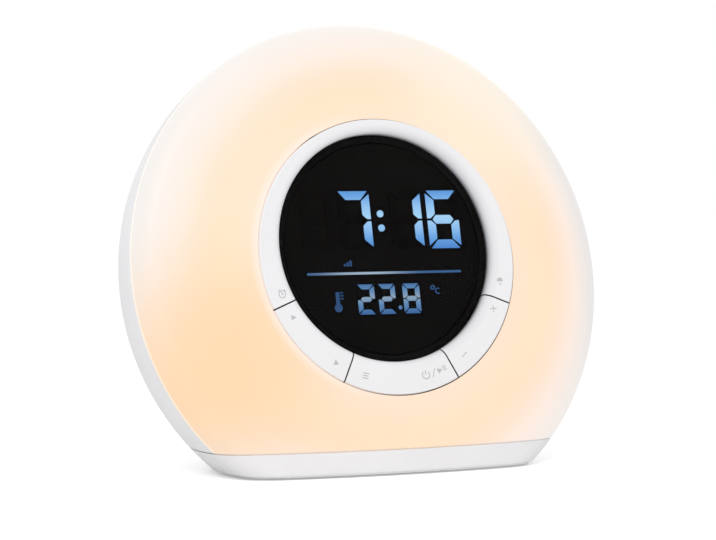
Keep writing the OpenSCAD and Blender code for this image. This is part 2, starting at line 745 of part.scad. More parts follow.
module speaker_leads() {
  color([0.6, 0.08, 0.06]) on_face() for (s = [0, 1])
    wire([[-34, -4 - s * 3, main_back - 5.7], [-34, -4 - s * 3, lead_n],
          [speaker_pin_at * cos(196 + 12 * s), speaker_up + speaker_pin_at * sin(196 + 12 * s),
           wall_n + 4.7]], 0.6);
}

// ---- power inlet ----

module dc_jack() {
  color(black) on_face() translate([0, jack_up, 0]) union() {
    difference() {
      union() {
        block(9, 11, wall_n, wall_n + 12);
        disc(4, -back_depth + 0.4, wall_n + 1);
      }
      disc(jack_bore_r, back_out, -back_depth + 9.8);
    }
    disc(jack_pin_r, -back_depth + 1.2, -back_depth + 10.4);
  }
}

// ---- battery, sensor, screws ----

module battery_cap() {
  color([0.9, 0.9, 0.9]) on_table() translate([0, cap_off, 0]) difference() {
    union() {
      disc(cap_r, base_low + 0.2, floor_top + 1.1);
      for (a = [0, 180]) rotate([0, 0, a - 12]) rotate_extrude(angle = 24)
        translate([cap_r - 1, floor_top + 0.15]) square([2.7, 0.95]);
    }
    translate([-7, -0.9, 0]) cube([14, 1.8, base_low + 1.4]);
    disc(9.5, floor_top + 0.1, floor_top + 5);
  }
}
module coin_cell() {
  color([0.78, 0.78, 0.8]) on_table() translate([0, cap_off, 0]) union() {
    disc(cell_r - 1.2, cell_low, cell_low + 0.25);
    disc(cell_r, cell_low + 0.25, cell_top);
  }
}
module cell_contacts() {
  color([0.8, 0.7, 0.35]) on_table() translate([0, cap_off, 0]) {
    block(14, 5, cell_top, cell_top + contact_t);
    translate([cell_r + 0.9, 0, 0]) block(1.6, 3.2, cell_low + 0.4, cell_top - 0.4);
  }
}
module housing_screws() {
  color([0.62, 0.62, 0.64]) on_face() for (a = case_angles) polar(a, case_r)
    translate([0, 0, case_seat]) screw(case_screw_r, 17, case_head_r, 2.2, 0.9);
}
module base_screws() {
  color([0.62, 0.62, 0.64]) on_table() for (p = base_spots)
    translate([p[0], p[1], base_seat]) screw(case_screw_r, 14, case_head_r, 2.2, 0.9);
}
module display_screws() {
  color([0.62, 0.62, 0.64]) on_ring() for (a = ear_angles) polar(a, ear_r)
    translate([0, 0, frame_low]) screw(1.05, 7.8, 2, 1.3, 0.6);
}
module board_screws() {
  color([0.62, 0.62, 0.64]) {
    on_ring() for (s = frame_screws) polar(s[0], s[1])
      translate([0, 0, frame_low - board_t]) screw(board_screw_r, 5, 1.9, 1.3, 0.6);
    on_face() for (x = [-1, 1], y = [-1, 1])
      translate([x * (board_w / 2 - 4), 8 + y * (board_h / 2 - 4), main_back])
        screw(board_screw_r, 5, 1.9, 1.3, 0.6);
    on_face() for (a = led_screw_angles) polar(a, led_screw_r)
      translate([0, 0, chassis_n + board_t]) rotate([180, 0, 0]) screw(board_screw_r, 4.4, 1.9, 1.3, 0.6);
  }
}
module temperature_sensor() {
  color([0.1, 0.35, 0.2]) on_table() translate([sensor_x, 0.3, 0]) union() {
    block(9, 1.2, floor_top, floor_top + 8);
    translate([0, 0, floor_top + 8.6]) sphere(r = 1.4, $fn = 32);
  }
}

diffuser();
rear_housing();
base();
rubber_feet();
window_lens();
display_gasket();
display_frame();
display_block();
lit_segments();
dark_segments();
top_key();
left_key();
bottom_key();
right_key();
display_board();
switch_bodies();
switch_plungers();
light_chassis();
led_board();
wake_leds();
speaker_grille();
speaker_gasket();
speaker_basket();
speaker_magnet();
speaker_surround();
speaker_cone();
speaker_screws();
main_board();
radio_module();
board_components();
ribbon_connectors();
ribbon_cable();
speaker_leads();
dc_jack();
battery_cap();
coin_cell();
cell_contacts();
housing_screws();
base_screws();
display_screws();
board_screws();
temperature_sensor();
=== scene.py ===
"""Dresses the leaned, round wake-up light with its clock window, ring of keys, rear speaker and base.

Lengths below are millimetres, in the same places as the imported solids. Meshes are made in metres. The face
frame has its origin at the middle of the round case: x to the right, y up the leaned face, z out of it.
"""

import logging
import math
from collections.abc import Iterable, Sequence
from dataclasses import dataclass, field
from enum import Enum

import bpy
from mathutils import Matrix, Vector


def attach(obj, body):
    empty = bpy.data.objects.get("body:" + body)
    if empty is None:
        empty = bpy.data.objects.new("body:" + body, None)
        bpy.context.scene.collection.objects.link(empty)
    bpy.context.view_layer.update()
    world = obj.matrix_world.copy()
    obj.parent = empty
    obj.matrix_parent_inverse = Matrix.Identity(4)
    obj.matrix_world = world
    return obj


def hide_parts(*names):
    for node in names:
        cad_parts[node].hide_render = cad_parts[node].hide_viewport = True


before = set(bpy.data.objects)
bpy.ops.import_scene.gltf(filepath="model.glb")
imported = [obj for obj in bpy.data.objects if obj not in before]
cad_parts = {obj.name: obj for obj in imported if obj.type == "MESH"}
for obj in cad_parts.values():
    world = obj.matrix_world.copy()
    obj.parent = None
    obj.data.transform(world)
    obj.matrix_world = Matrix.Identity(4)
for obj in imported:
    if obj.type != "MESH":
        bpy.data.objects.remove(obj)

LOG = logging.getLogger("wake_light")
MM = 0.001
MERGE = 1e-6
LEAN = math.radians(13.5)
FACE_CENTRE = Vector((0.0, -20.447, 70.4))
BODY_R = 91.8
OPENING_R = 50.3
CLOCK_OUT = 2.66
RING_UP = 2.7
WINDOW_UP = 6.3
SPEAKER_UP = 8.0
KEY_SPANS = {
    "top_key": (-21.6, 201.6),
    "left_key": (201.6, 243.2),
    "bottom_key": (243.2, 296.8),
    "right_key": (296.8, 338.4),
}
SOCKET_KINDS = {
    "Vector": "NodeSocketVector",
    "Colour": "NodeSocketColor",
    "First": "NodeSocketColor",
    "Second": "NodeSocketColor",
}

Point = tuple[float, ...]
Colour = tuple[float, float, float]
Piece = bpy.types.Object
Socket = bpy.types.NodeSocket


# ---------------------------------------------------------------- frames and modelling tools


def shift(x: float, y: float) -> Matrix:
    """A move across a frame, in millimetres."""
    return Matrix.Translation(Vector((x, y, 0)) * MM)


def turned(angle: float) -> Matrix:
    """A turn about z, in degrees."""
    return Matrix.Rotation(math.radians(angle), 4, "Z")


def face_frame(up: float = 0.0, out: float = 0.0) -> Matrix:
    """The leaned face's frame.

    Args:
        up: how far the origin moves up the face, in millimetres.
        out: how far it moves out of the face, in millimetres.

    Returns:
        The matrix from that frame to the row frame, in metres.
    """
    s, c = math.sin(LEAN), math.cos(LEAN)
    lean = Matrix(((1, 0, 0, 0), (0, s, -c, 0), (0, c, s, 0), (0, 0, 0, 1)))
    return Matrix.Translation(FACE_CENTRE * MM) @ lean @ Matrix.Translation((0, up * MM, out * MM))


def table_frame() -> Matrix:
    """The upright frame under the middle of the case, as the base's pieces use it."""
    return Matrix.Translation((0, FACE_CENTRE.y * MM, 0))


def clear_selection() -> None:
    """Leaves edit mode and deselects everything."""
    if bpy.context.mode != "OBJECT":
        bpy.ops.object.mode_set(mode="OBJECT")
    bpy.ops.object.select_all(action="DESELECT")


def hold(obj: Piece) -> None:
    """Makes obj the only selected object and the active one."""
    clear_selection()
    obj.select_set(True)
    bpy.context.view_layer.objects.active = obj


def edit(obj: Piece) -> None:
    """Opens obj in edit mode with all of it selected."""
    hold(obj)
    bpy.ops.object.mode_set(mode="EDIT")
    bpy.ops.mesh.select_all(action="SELECT")


def close_up() -> None:
    """Turns the faces of the edited mesh outwards and leaves edit mode."""
    bpy.ops.mesh.select_all(action="SELECT")
    bpy.ops.mesh.normals_make_consistent(inside=False)
    bpy.ops.object.mode_set(mode="OBJECT")


def trace(name: str, points: Sequence[Point], closed: bool = True) -> Piece:
    """Draws a line of vertices by extruding one vertex from point to point.

    Args:
        name: the new object's name.
        points: corners in millimetres, (x, y, z).
        closed: whether the line returns to its start.

    Returns:
        The object, left in edit mode with the whole line selected.
    """
    clear_selection()
    bpy.ops.mesh.primitive_plane_add(size=MM, location=(0, 0, 0))
    obj = bpy.context.object
    obj.name = name
    bpy.ops.object.mode_set(mode="EDIT")
    bpy.ops.mesh.select_all(action="SELECT")
    bpy.ops.mesh.merge(type="CENTER")
    here = Vector(points[0]) * MM
    bpy.ops.transform.translate(value=here)
    for point in list(points[1:]) + ([points[0]] if closed else []):
        there = Vector(point) * MM
        bpy.ops.mesh.extrude_vertices_move(TRANSFORM_OT_translate={"value": there - here})
        here = there
    bpy.ops.mesh.select_all(action="SELECT")
    bpy.ops.mesh.remove_doubles(threshold=MERGE)
    return obj


def revolve(
    name: str, profile: Sequence[Point], steps: int = 192, start: float = 0.0, sweep: float = 360.0
) -> Piece:
    """Spins a closed half profile round the local z axis into a closed solid.

    Args:
        name: the new object's name.
        profile: (radius, z) corners in millimetres.
        steps: how many steps the spin takes.
        start: the angle of the first section, in degrees.
        sweep: how far it spins, in degrees.

    Returns:
        The solid, in object mode.
    """
    obj = trace(name, [(r, 0.0, z) for r, z in profile])
    angle = math.radians(sweep)
    bpy.ops.mesh.spin(steps=steps, angle=angle, center=(0, 0, 0), axis=(0, 0, -1), use_auto_merge=True)
    bpy.ops.mesh.select_all(action="SELECT")
    bpy.ops.mesh.remove_doubles(threshold=MERGE)
    if sweep < 360.0:
        bpy.ops.mesh.fill_holes(sides=0)
    close_up()
    return place(obj, turned(start)) if start else obj


def plate(name: str, outline: Sequence[Point], low: float, high: float) -> Piece:
    """Fills a flat outline and pulls it up into a plate.

    Args:
        name: the new object's name.
        outline: (x, y) corners in millimetres.
        low: height of the underside, in millimetres.
        high: height of the top, in millimetres.

    Returns:
        The plate, in object mode.
    """
    obj = trace(name, [(x, y, low) for x, y in outline])
    bpy.ops.mesh.edge_face_add()
    bpy.ops.mesh.extrude_region_move(TRANSFORM_OT_translate={"value": (0, 0, (high - low) * MM)})
    close_up()
    return obj


def place(obj: Piece, matrix: Matrix) -> Piece:
    """Moves obj by matrix and writes the place into its mesh."""
    obj.matrix_world = matrix @ obj.matrix_world
    hold(obj)
    bpy.ops.object.transform_apply(location=True, rotation=True, scale=True)
    return obj


def apply_modifier(obj: Piece, kind: str, **settings: object) -> None:
    """Adds a modifier to obj, sets it and applies it.

    Args:
        obj: the piece.
        kind: Blender's name of the modifier.
        **settings: the modifier's own settings.
    """
    hold(obj)
    bpy.ops.object.modifier_add(type=kind)
    modifier = obj.modifiers[-1]
    for key, value in settings.items():
        setattr(modifier, key, value)
    bpy.ops.object.modifier_apply(modifier=modifier.name)


def carve(obj: Piece, *tools: Piece, operation: str = "DIFFERENCE") -> None:
    """Cuts each tool out of obj, or adds or keeps it, and removes the tool.

    Args:
        obj: the piece.
        *tools: closed solids.
        operation: DIFFERENCE, UNION or INTERSECT.
    """
    for tool in tools:
        apply_modifier(obj, "BOOLEAN", operation=operation, object=tool, solver="EXACT")
        bpy.data.objects.remove(tool)


def trim(obj: Piece, height: float, side: int) -> None:
    """Cuts obj with a level plane.

    Args:
        obj: the piece, with its place in its mesh.
        height: of the plane, in millimetres.
        side: 1 takes away what lies above it, -1 what lies below.
    """
    edit(obj)
    plane = {"plane_co": Vector((0, 0, height)) * MM, "plane_no": (0, 0, side)}
    bpy.ops.mesh.bisect(use_fill=True, clear_outer=True, clear_inner=False, **plane)
    close_up()


def join(name: str, pieces: Sequence[Piece]) -> Piece:
    """Joins pieces into one object of that name."""
    hold(pieces[0])
    for piece in pieces:
        piece.select_set(True)
    if len(pieces) > 1:
        bpy.ops.object.join()
    pieces[0].name = name
    pieces[0].data.name = name
    return pieces[0]


def soften(obj: Piece, width: float, segments: int = 2, angle: float = 40.0) -> None:
    """Rounds the edges that turn by more than an angle in degrees, by a width in millimetres."""
    limit = {"limit_method": "ANGLE", "angle_limit": math.radians(angle), "use_clamp_overlap": True}
    apply_modifier(obj, "BEVEL", width=width * MM, segments=segments, **limit)


def smooth(obj: Piece, angle: float = 32.0) -> None:
    """Shades obj smooth below an angle, in degrees, with normals that follow the larger faces."""
    hold(obj)
    bpy.ops.object.shade_smooth_by_angle(angle=math.radians(angle))
    apply_modifier(obj, "WEIGHTED_NORMAL", keep_sharp=True, weight=60)


def polar(angle: float, radius: float) -> Point:
    """The point at an angle in degrees and a radius."""
    return (radius * math.cos(math.radians(angle)), radius * math.sin(math.radians(angle)))


def arc(centre: Point, radius: float, first: float, last: float, steps: int) -> list[Point]:
    """The steps + 1 points of an arc between two angles in degrees."""
    turns = (first + (last - first) * i / steps for i in range(steps + 1))
    return [(centre[0] + polar(t, radius)[0], centre[1] + polar(t, radius)[1]) for t in turns]


def box(x0: float, y0: float, x1: float, y1: float) -> list[Point]:
    """The corners of a rectangle, from its lower left one."""
    return [(x0, y0), (x1, y0), (x1, y1), (x0, y1)]


def drum(radius: float, low: float, high: float, at: Point = (0, 0), steps: int = 64) -> Piece:
    """A plain round cutting tool from low to high, with its axis at a place."""
    return place(revolve("tool", box(0, low, radius, high), steps), shift(*at))


def slot_tool(at: Point, width: float, height: float, low: float, high: float) -> Piece:
    """A slot-shaped cutting tool with round ends.

    Args:
        at: its middle.
        width: its whole length.
        height: its breadth.
        low: its lower end.
        high: its upper end.

    Returns:
        The tool.
    """
    r, half = height / 2, (width - height) / 2
    right = arc((at[0] + half, at[1]), r, -90, 90, 10)
    left = arc((at[0] - half, at[1]), r, 90, 270, 10)
    return plate("tool", right + left, low, high)


# ---------------------------------------------------------------- shader tools


def linear(colour: Sequence[float]) -> tuple[float, float, float, float]:
    """A colour of 0 to 255 as the linear colour that a socket takes."""
    values = [v / 255 for v in colour]
    return (*(v / 12.92 if v <= 0.04045 else ((v + 0.055) / 1.055) ** 2.4 for v in values), 1.0)


class NodeBoard:
    """A node tree with short ways to add and join nodes, and the place that they are worked out for."""

    def __init__(self, tree: bpy.types.NodeTree) -> None:
        """Wraps a tree and empties it."""
        self.tree = tree
        self.spot: Socket | None = None
        tree.nodes.clear()

    def add(
        self, kind: str, inputs: dict[str | int, object] | None = None, **settings: object
    ) -> bpy.types.Node:
        """Adds a node.

        Args:
            kind: its Blender type, without "ShaderNode".
            inputs: for each input socket a value, or an output socket to join it to.
            **settings: the node's own settings.

        Returns:
            The node.
        """
        family = "NodeGroup" if kind in ("Input", "Output") else "ShaderNode"
        node = self.tree.nodes.new(family + kind)
        for key, value in settings.items():
            setattr(node, key, value)
        for key, value in (inputs or {}).items():
            self.put(node, key, value)
        return node

    def put(self, node: bpy.types.Node, key: str | int, value: object) -> None:
        """Sets or joins one input of a node."""
        if isinstance(value, Socket):
            self.tree.links.new(value, node.inputs[key])
        else:
            node.inputs[key].default_value = value

    def math(self, operation: str, a: object, b: object = 0.0) -> Socket:
        """The result of a Math node."""
        return self.add("Math", {0: a, 1: b}, operation=operation).outputs[0]

    def times(self, *values: object) -> Socket:
        """The product of two or more values."""
        product = values[0]
        for value in values[1:]:
            product = self.math("MULTIPLY", product, value)
        return product

    def off(self, value: Socket, middle: float) -> Socket:
        """How far a value lies from a middle, either way."""
        return self.math("ABSOLUTE", self.math("SUBTRACT", value, middle))

    def reach(self, a: Socket, b: Socket) -> Socket:
        """How far a place lies from an axis, from its two steps away from it."""
        return self.math("SQRT", self.math("ADD", self.times(a, a), self.times(b, b)))

    def along(self, origin: Matrix, axis: int) -> Socket:
        """How far the place lies along an axis of a frame, in metres."""
        step = self.add("VectorMath", {0: self.spot, 1: origin.translation}, operation="SUBTRACT").outputs[0]
        way = origin.col[axis].to_3d()
        return self.add("VectorMath", {0: step, 1: way}, operation="DOT_PRODUCT").outputs["Value"]

    def span(
        self,
        value: Socket,
        low: float,
        high: float,
        first: object = 0.0,
        last: object = 1.0,
        kind: str = "LINEAR",
    ) -> Socket:
        """A value that runs from first, at low, to last, at high, and stays there beyond."""
        inputs = {"Value": value, "From Min": low, "From Max": high, "To Min": first, "To Max": last}
        return self.add("MapRange", inputs, interpolation_type=kind).outputs[0]

    def near(self, middle: Vector, inner: float, outer: float) -> Socket:
        """1 within inner of a point in the row frame, 0 beyond outer, smooth between, in millimetres."""
        away = self.add("VectorMath", {0: self.spot, 1: middle}, operation="DISTANCE").outputs["Value"]
        return self.span(away, inner * MM, outer * MM, 1.0, 0.0, "SMOOTHERSTEP")

    def noise(self, scale: object, detail: float) -> Socket:
        """A cloudy value."""
        return self.add("TexNoise", {"Vector": self.spot, "Scale": scale, "Detail": detail}).outputs[0]

    def ramp(self, value: Socket, stops: Sequence[tuple[float, Colour]]) -> Socket:
        """A colour ramp over a value.

        Args:
            value: 0 to 1.
            stops: places with colours of 0 to 255.

        Returns:
            The colour socket.
        """
        node = self.add("ValToRGB", {0: value})
        elements = node.color_ramp.elements
        elements[0].position, elements[1].position = stops[0][0], stops[-1][0]
        for where, _ in stops[1:-1]:
            elements.new(where)
        for element, (_, colour) in zip(elements, stops):
            element.color = linear(colour)
        return node.outputs[0]

    def mix(self, share: object, a: object, b: object) -> Socket:
        """A mix of two colours."""
        return self.add("Mix", {0: share, 6: a, 7: b}, data_type="RGBA").outputs[2]

    def effect(self, effect: "SharedEffect", inputs: dict[str, object]) -> Socket:
        """What a shared effect puts out at the place, or at another that the inputs name."""
        return self.add("Group", {"Vector": self.spot, **inputs}, node_tree=effect.tree()).outputs[0]


class SharedEffect(Enum):
    """The effects that several materials use, each a node group."""

    GRAIN = "moulded_grain"
    DRIFT = "colour_drift"
    POLISH = "polish_drift"

    def tree(self) -> bpy.types.NodeTree:
        """The effect's node group, made when it is first asked for."""
        made = bpy.data.node_groups.get(self.value)
        if made is None:
            made = bpy.data.node_groups.new(self.value, "ShaderNodeTree")
            makers = {SharedEffect.GRAIN: _grain, SharedEffect.DRIFT: _drift, SharedEffect.POLISH: _polish}
            makers[self](made)
        return made


def _group(tree: bpy.types.NodeTree, output: str, *inputs: str) -> tuple[NodeBoard, dict[str, Socket]]:
    """Gives a group its sockets.

    Args:
        tree: the group.
        output: name of what comes out.
        *inputs: names of what goes in besides the place.

    Returns:
        The group's board, and the sockets that bring in its inputs.
    """
    sockets = [("Vector", "INPUT"), *((name, "INPUT") for name in inputs), (output, "OUTPUT")]
    for name, way in sockets:
        kind = SOCKET_KINDS.get(name, "NodeSocketFloat")
        tree.interface.new_socket(name=name, in_out=way, socket_type=kind)
    board = NodeBoard(tree)
    given = board.add("Input").outputs
    board.spot = given["Vector"]
    return board, given


def _grain(tree: bpy.types.NodeTree) -> None:
    """Height of a fine moulded or cast surface: a soft swell with a fine grain on it."""
    board, given = _group(tree, "Height", "Scale", "Fineness")
    swell = board.noise(given["Scale"], 3.0)
    fine = board.noise(board.times(given["Scale"], given["Fineness"]), 2.0)
    board.add("Output", {"Height": board.math("ADD", swell, board.times(fine, 0.5))})


def _drift(tree: bpy.types.NodeTree) -> None:
    """A colour that wanders slowly towards a second one."""
    board, given = _group(tree, "Colour", "First", "Second", "Scale")
    share = board.span(board.noise(given["Scale"], 4.0), 0.35, 0.7)
    board.add("Output", {"Colour": board.mix(share, given["First"], given["Second"])})


def _polish(tree: bpy.types.NodeTree) -> None:
    """A roughness that varies where a surface was handled or wiped."""
    board, given = _group(tree, "Roughness", "Smoothest", "Roughest", "Scale")
    cloud = board.noise(given["Scale"], 5.0)
    board.add("Output", {"Roughness": board.span(cloud, 0.3, 0.7, given["Smoothest"], given["Roughest"])})


@dataclass(frozen=True)
class Finish:
    """A moulded, metal, rubber or paper surface.

    Fields hold its colours as 0 to 255, its least and greatest roughness, and its grain's size and depth.
    """

    name: str
    colour: Colour
    second: Colour
    smoothest: float = 0.35
    roughest: float = 0.5
    metallic: float = 0.0
    specular: float = 0.5
    grain_scale: float = 400.0
    fineness: float = 6.0
    depth: float = 0.02
    bump: float = 0.35
    drift_scale: float = 30.0
    stretch: Point = (1.0, 1.0, 1.0)
    coat: float = 0.0
    alpha: float = 1.0

    @property
    def title(self) -> str:
        """The material's own name, which no material of the loaded nodes has."""
        return f"{self.name}_finish"

    def material(self) -> bpy.types.Material:
        """The finished material, made once."""
        made = bpy.data.materials.get(self.title)
        if made is None:
            made = bpy.data.materials.new(self.title)
            made.use_nodes = True
            if self.alpha < 1.0:
                made.surface_render_method = "BLENDED"
            board = NodeBoard(made.node_tree)
            board.spot = board.add("TexCoord").outputs["Object"]
            shader = self._surface(board)
            self.paint(board, shader)
            board.add("OutputMaterial", {"Surface": shader.outputs[0]})
        return made

    def _surface(self, board: NodeBoard) -> bpy.types.Node:
        """Adds the surface with its shared effects.

        Args:
            board: the material's board.

        Returns:
            The Principled node.
        """
        stretched = board.add("Mapping", {"Vector": board.spot, "Scale": self.stretch}).outputs[0]
        drift = {"First": linear(self.colour), "Second": linear(self.second), "Scale": self.drift_scale}
        polish = {"Smoothest": self.smoothest, "Roughest": self.roughest, "Scale": self.drift_scale * 2}
        grain = {"Vector": stretched, "Scale": self.grain_scale, "Fineness": self.fineness}
        height = board.effect(SharedEffect.GRAIN, grain)
        bump = board.add("Bump", {"Strength": self.bump, "Distance": self.depth * MM, "Height": height})
        inputs = {
            "Base Color": board.effect(SharedEffect.DRIFT, drift),
            "Roughness": board.effect(SharedEffect.POLISH, polish),
            "Metallic": self.metallic,
            "Specular IOR Level": self.specular,
            "Coat Weight": self.coat,
            "Alpha": self.alpha,
            "Normal": bump.outputs[0],
        }
        return board.add("BsdfPrincipled", inputs)

    def paint(self, board: NodeBoard, shader: bpy.types.Node) -> None:
        """Adds what a finish has beyond the shared effects, which is nothing on a plain one."""


@dataclass(frozen=True)
class Patch:
    """A soft patch of another glow colour on the front, or of painted shade.

    Fields hold its middle in the face frame, the radii where it is full and gone, its strength and colour.
    """

    middle: Point
    inner: float
    outer: float
    strength: float
    colour: Colour

    def share(self, board: NodeBoard) -> Socket:
        """How much of the patch a place gets."""
        middle = face_frame() @ (Vector(self.middle) * MM)
        return board.times(board.near(middle, self.inner, self.outer), self.strength)


@dataclass(frozen=True)
class GlowFinish(Finish):
    """The milky front, lit from behind by warm lights: peach near the clock, paler towards the rim, with
    painted shade and a painted highlight at the rim, the seam and the ring.
    """

    strength: float = 1.0
    stops: tuple[tuple[float, Colour], ...] = (
        (0.56, (205, 171, 143)),
        (0.65, (205, 170, 129)),
        (0.72, (205, 169, 129)),
        (0.785, (204, 171, 144)),
        (0.85, (200, 179, 166)),
        (0.915, (193, 182, 178)),
        (1.0, (184, 184, 185)),
    )
    warm: Patch = Patch((-66.0, -34.0, 9.0), 0.0, 66.0, 1.0, (204, 153, 84))
    pale: Patch = Patch((52.0, 66.0, 8.0), 10.0, 60.0, 0.6, (200, 188, 168))
    # painted shade: a grey patch on the right-hand rim, where the rolled edge turns away from the light; rim
    # gives where on the radius it sets in
    shaded: Patch = Patch((88.0, 12.0, 4.0), 12.0, 80.0, 0.7, (160, 164, 172))
    rim: tuple[float, float] = (0.86, 0.97)
    # painted highlight: a pale line along the seam lip, where the rounded edge catches the light
    lip_out: float = 0.5
    lip_half: float = 0.6
    seam_highlight_colour: Colour = (226, 214, 200)
    # the far side takes the painted bore shade; the painted halo fades out towards it
    far_side: tuple[float, float] = (-34.0, 0.0)
    # painted light: a pale band round the ring's edge on the near side, standing in for the ring's side wall
    # lit by the glow
    halo_w: float = 3.0
    painted_halo_colour: Colour = (204, 190, 184)
    # painted shade: the bore wall in the gap round the ring, dark on the far side
    bore_shade_colour: Colour = (30, 26, 22)

    def paint(self, board: NodeBoard, shader: bpy.types.Node) -> None:
        """Lights the front, with painted shade on the right-hand rim, a painted highlight on the seam lip, a
        painted pale halo by the ring's near side and painted shade down the bore at the ring's far side.

        Args:
            board: the material's board.
            shader: its Principled node.
        """
        face = face_frame()
        across, up, out = (board.along(face, axis) for axis in range(3))
        share = board.math("DIVIDE", board.reach(across, up), BODY_R * MM)
        glow = board.ramp(share, self.stops)
        for patch in (self.warm, self.pale):
            glow = board.mix(patch.share(board), glow, linear(patch.colour))
        # painted shade on the right-hand rim
        shade = board.times(board.span(share, *self.rim), self.shaded.share(board))
        glow = board.mix(shade, glow, linear(self.shaded.colour))
        # painted highlight along the seam lip
        lip = board.math("LESS_THAN", board.off(out, self.lip_out * MM), self.lip_half * MM)
        glow = board.mix(board.times(lip, 0.5), glow, linear(self.seam_highlight_colour))
        from_ring = board.reach(across, board.along(face_frame(RING_UP), 1))
        far = board.span(across, *(end * MM for end in self.far_side))
        # painted light: a pale halo round the ring on the near side
        halo = board.span(from_ring, OPENING_R * MM, (OPENING_R + self.halo_w) * MM, 0.7, 0.0)
        glow = board.mix(board.times(halo, board.math("SUBTRACT", 1.0, far)), glow, linear(self.painted_halo_colour))
        # painted shade down the bore on the far side
        bore = board.math("LESS_THAN", from_ring, (OPENING_R + 0.05) * MM)
        glow = board.mix(board.times(bore, far, 0.94), glow, linear(self.bore_shade_colour))
        board.put(shader, "Emission Color", glow)
        board.put(shader, "Emission Strength", self.strength)


@dataclass(frozen=True)
class KeyFinish(Finish):
    """The white keys: painted shade greys the rounded edge by the window and darkens the gaps between them.
    """

    # window_r, edge_r and edge_side bound a painted shade down the window's rounded edge on the right-hand
    # side
    window_r: float = 41.4
    edge_r: float = 45.2
    edge_side: tuple[float, float] = (-4.0, 30.0)
    fillet_shade_colour: Colour = (222, 222, 224)
    # painted shade: the keys' end faces darkened in the gaps between them
    half_gap_shade: float = 0.28
    line_colour: Colour = (70, 69, 68)

    def paint(self, board: NodeBoard, shader: bpy.types.Node) -> None:
        """Paints shade on the edge by the window and on the keys' ends.

        Args:
            board: the material's board.
            shader: its Principled node.
        """
        colour = shader.inputs["Base Color"].links[0].from_socket
        window = face_frame(WINDOW_UP, CLOCK_OUT)
        across = board.along(window, 0)
        from_window = board.reach(across, board.along(window, 1))
        # painted shade down the rounded edge by the window
        inner = board.span(from_window, self.window_r * MM, self.edge_r * MM, 1.0, 0.0)
        side = board.span(across, *(end * MM for end in self.edge_side))
        colour = board.mix(board.times(inner, side), colour, linear(self.fillet_shade_colour))
        # painted shade on the keys' end faces in each gap
        up = board.along(face_frame(RING_UP), 1)
        for first, _ in KEY_SPANS.values():
            x, y = polar(first, 1.0)
            sideways = board.math("SUBTRACT", board.times(across, y), board.times(up, x))
            outwards = board.math("ADD", board.times(across, x), board.times(up, y))
            line = board.math("LESS_THAN", board.off(sideways, 0.0), self.half_gap_shade * MM)
            line = board.times(line, board.math("GREATER_THAN", outwards, 0.0), 0.9)
            colour = board.mix(line, colour, linear(self.line_colour))
        board.put(shader, "Base Color", colour)


@dataclass(frozen=True)
class SegmentFinish(Finish):
    """Lit bars of the display: pale blue where the lights stand behind them, deeper towards the ends."""

    strength: float = 2.9
    time_up: float = 11.5
    time_half: float = 11.5
    time_stops: tuple[tuple[float, Colour], ...] = (
        (0.0, (166, 212, 246)),
        (0.35, (146, 194, 240)),
        (0.7, (104, 162, 224)),
        (1.0, (80, 136, 206)),
    )
    heat_up: float = -17.8
    heat_half: float = 6.2
    heat_stops: tuple[tuple[float, Colour], ...] = (
        (0.0, (142, 164, 184)),
        (0.4, (94, 136, 180)),
        (1.0, (54, 96, 152)),
    )
    heat_below: float = -4.5
    level: float = 10.1
    dim_marks: tuple[Point, ...] = ((-18.8, -18.5, 5.0), (19.5, -15.4, 3.0), (-14.4, -5.4, 3.0))
    dim_edge: float = 1.2
    dim_colour: Colour = (44, 76, 118)
    line_up: float = -8.9
    line_half: float = 0.6
    line_bright: Point = (-8.0, 26.0)
    line_colours: tuple[Colour, Colour] = ((58, 94, 138), (160, 180, 200))

    def paint(self, board: NodeBoard, shader: bpy.types.Node) -> None:
        """Lights the time, the temperature, the small marks and the line between.

        Args:
            board: the material's board.
            shader: its Principled node.
        """
        window = face_frame(WINDOW_UP, CLOCK_OUT)
        up = board.along(window, 1)
        time_row = board.math("DIVIDE", board.off(up, self.time_up * MM), self.time_half * MM)
        heat_row = board.math("DIVIDE", board.off(up, self.heat_up * MM), self.heat_half * MM)
        below = board.math("LESS_THAN", up, self.heat_below * MM)
        lit = board.mix(below, board.ramp(time_row, self.time_stops), board.ramp(heat_row, self.heat_stops))
        for x, y, r in self.dim_marks:
            middle = window @ (Vector((x, y, self.level)) * MM)
            lit = board.mix(board.near(middle, r, r + self.dim_edge), lit, linear(self.dim_colour))
        line = board.math("LESS_THAN", board.off(up, self.line_up * MM), self.line_half * MM)
        bright_x, bright_r = self.line_bright
        middle = window @ (Vector((bright_x, self.line_up, self.level)) * MM)
        line_colour = board.mix(board.near(middle, 0.0, bright_r), *map(linear, self.line_colours))
        board.put(shader, "Emission Color", board.mix(line, lit, line_colour))
        board.put(shader, "Emission Strength", self.strength)


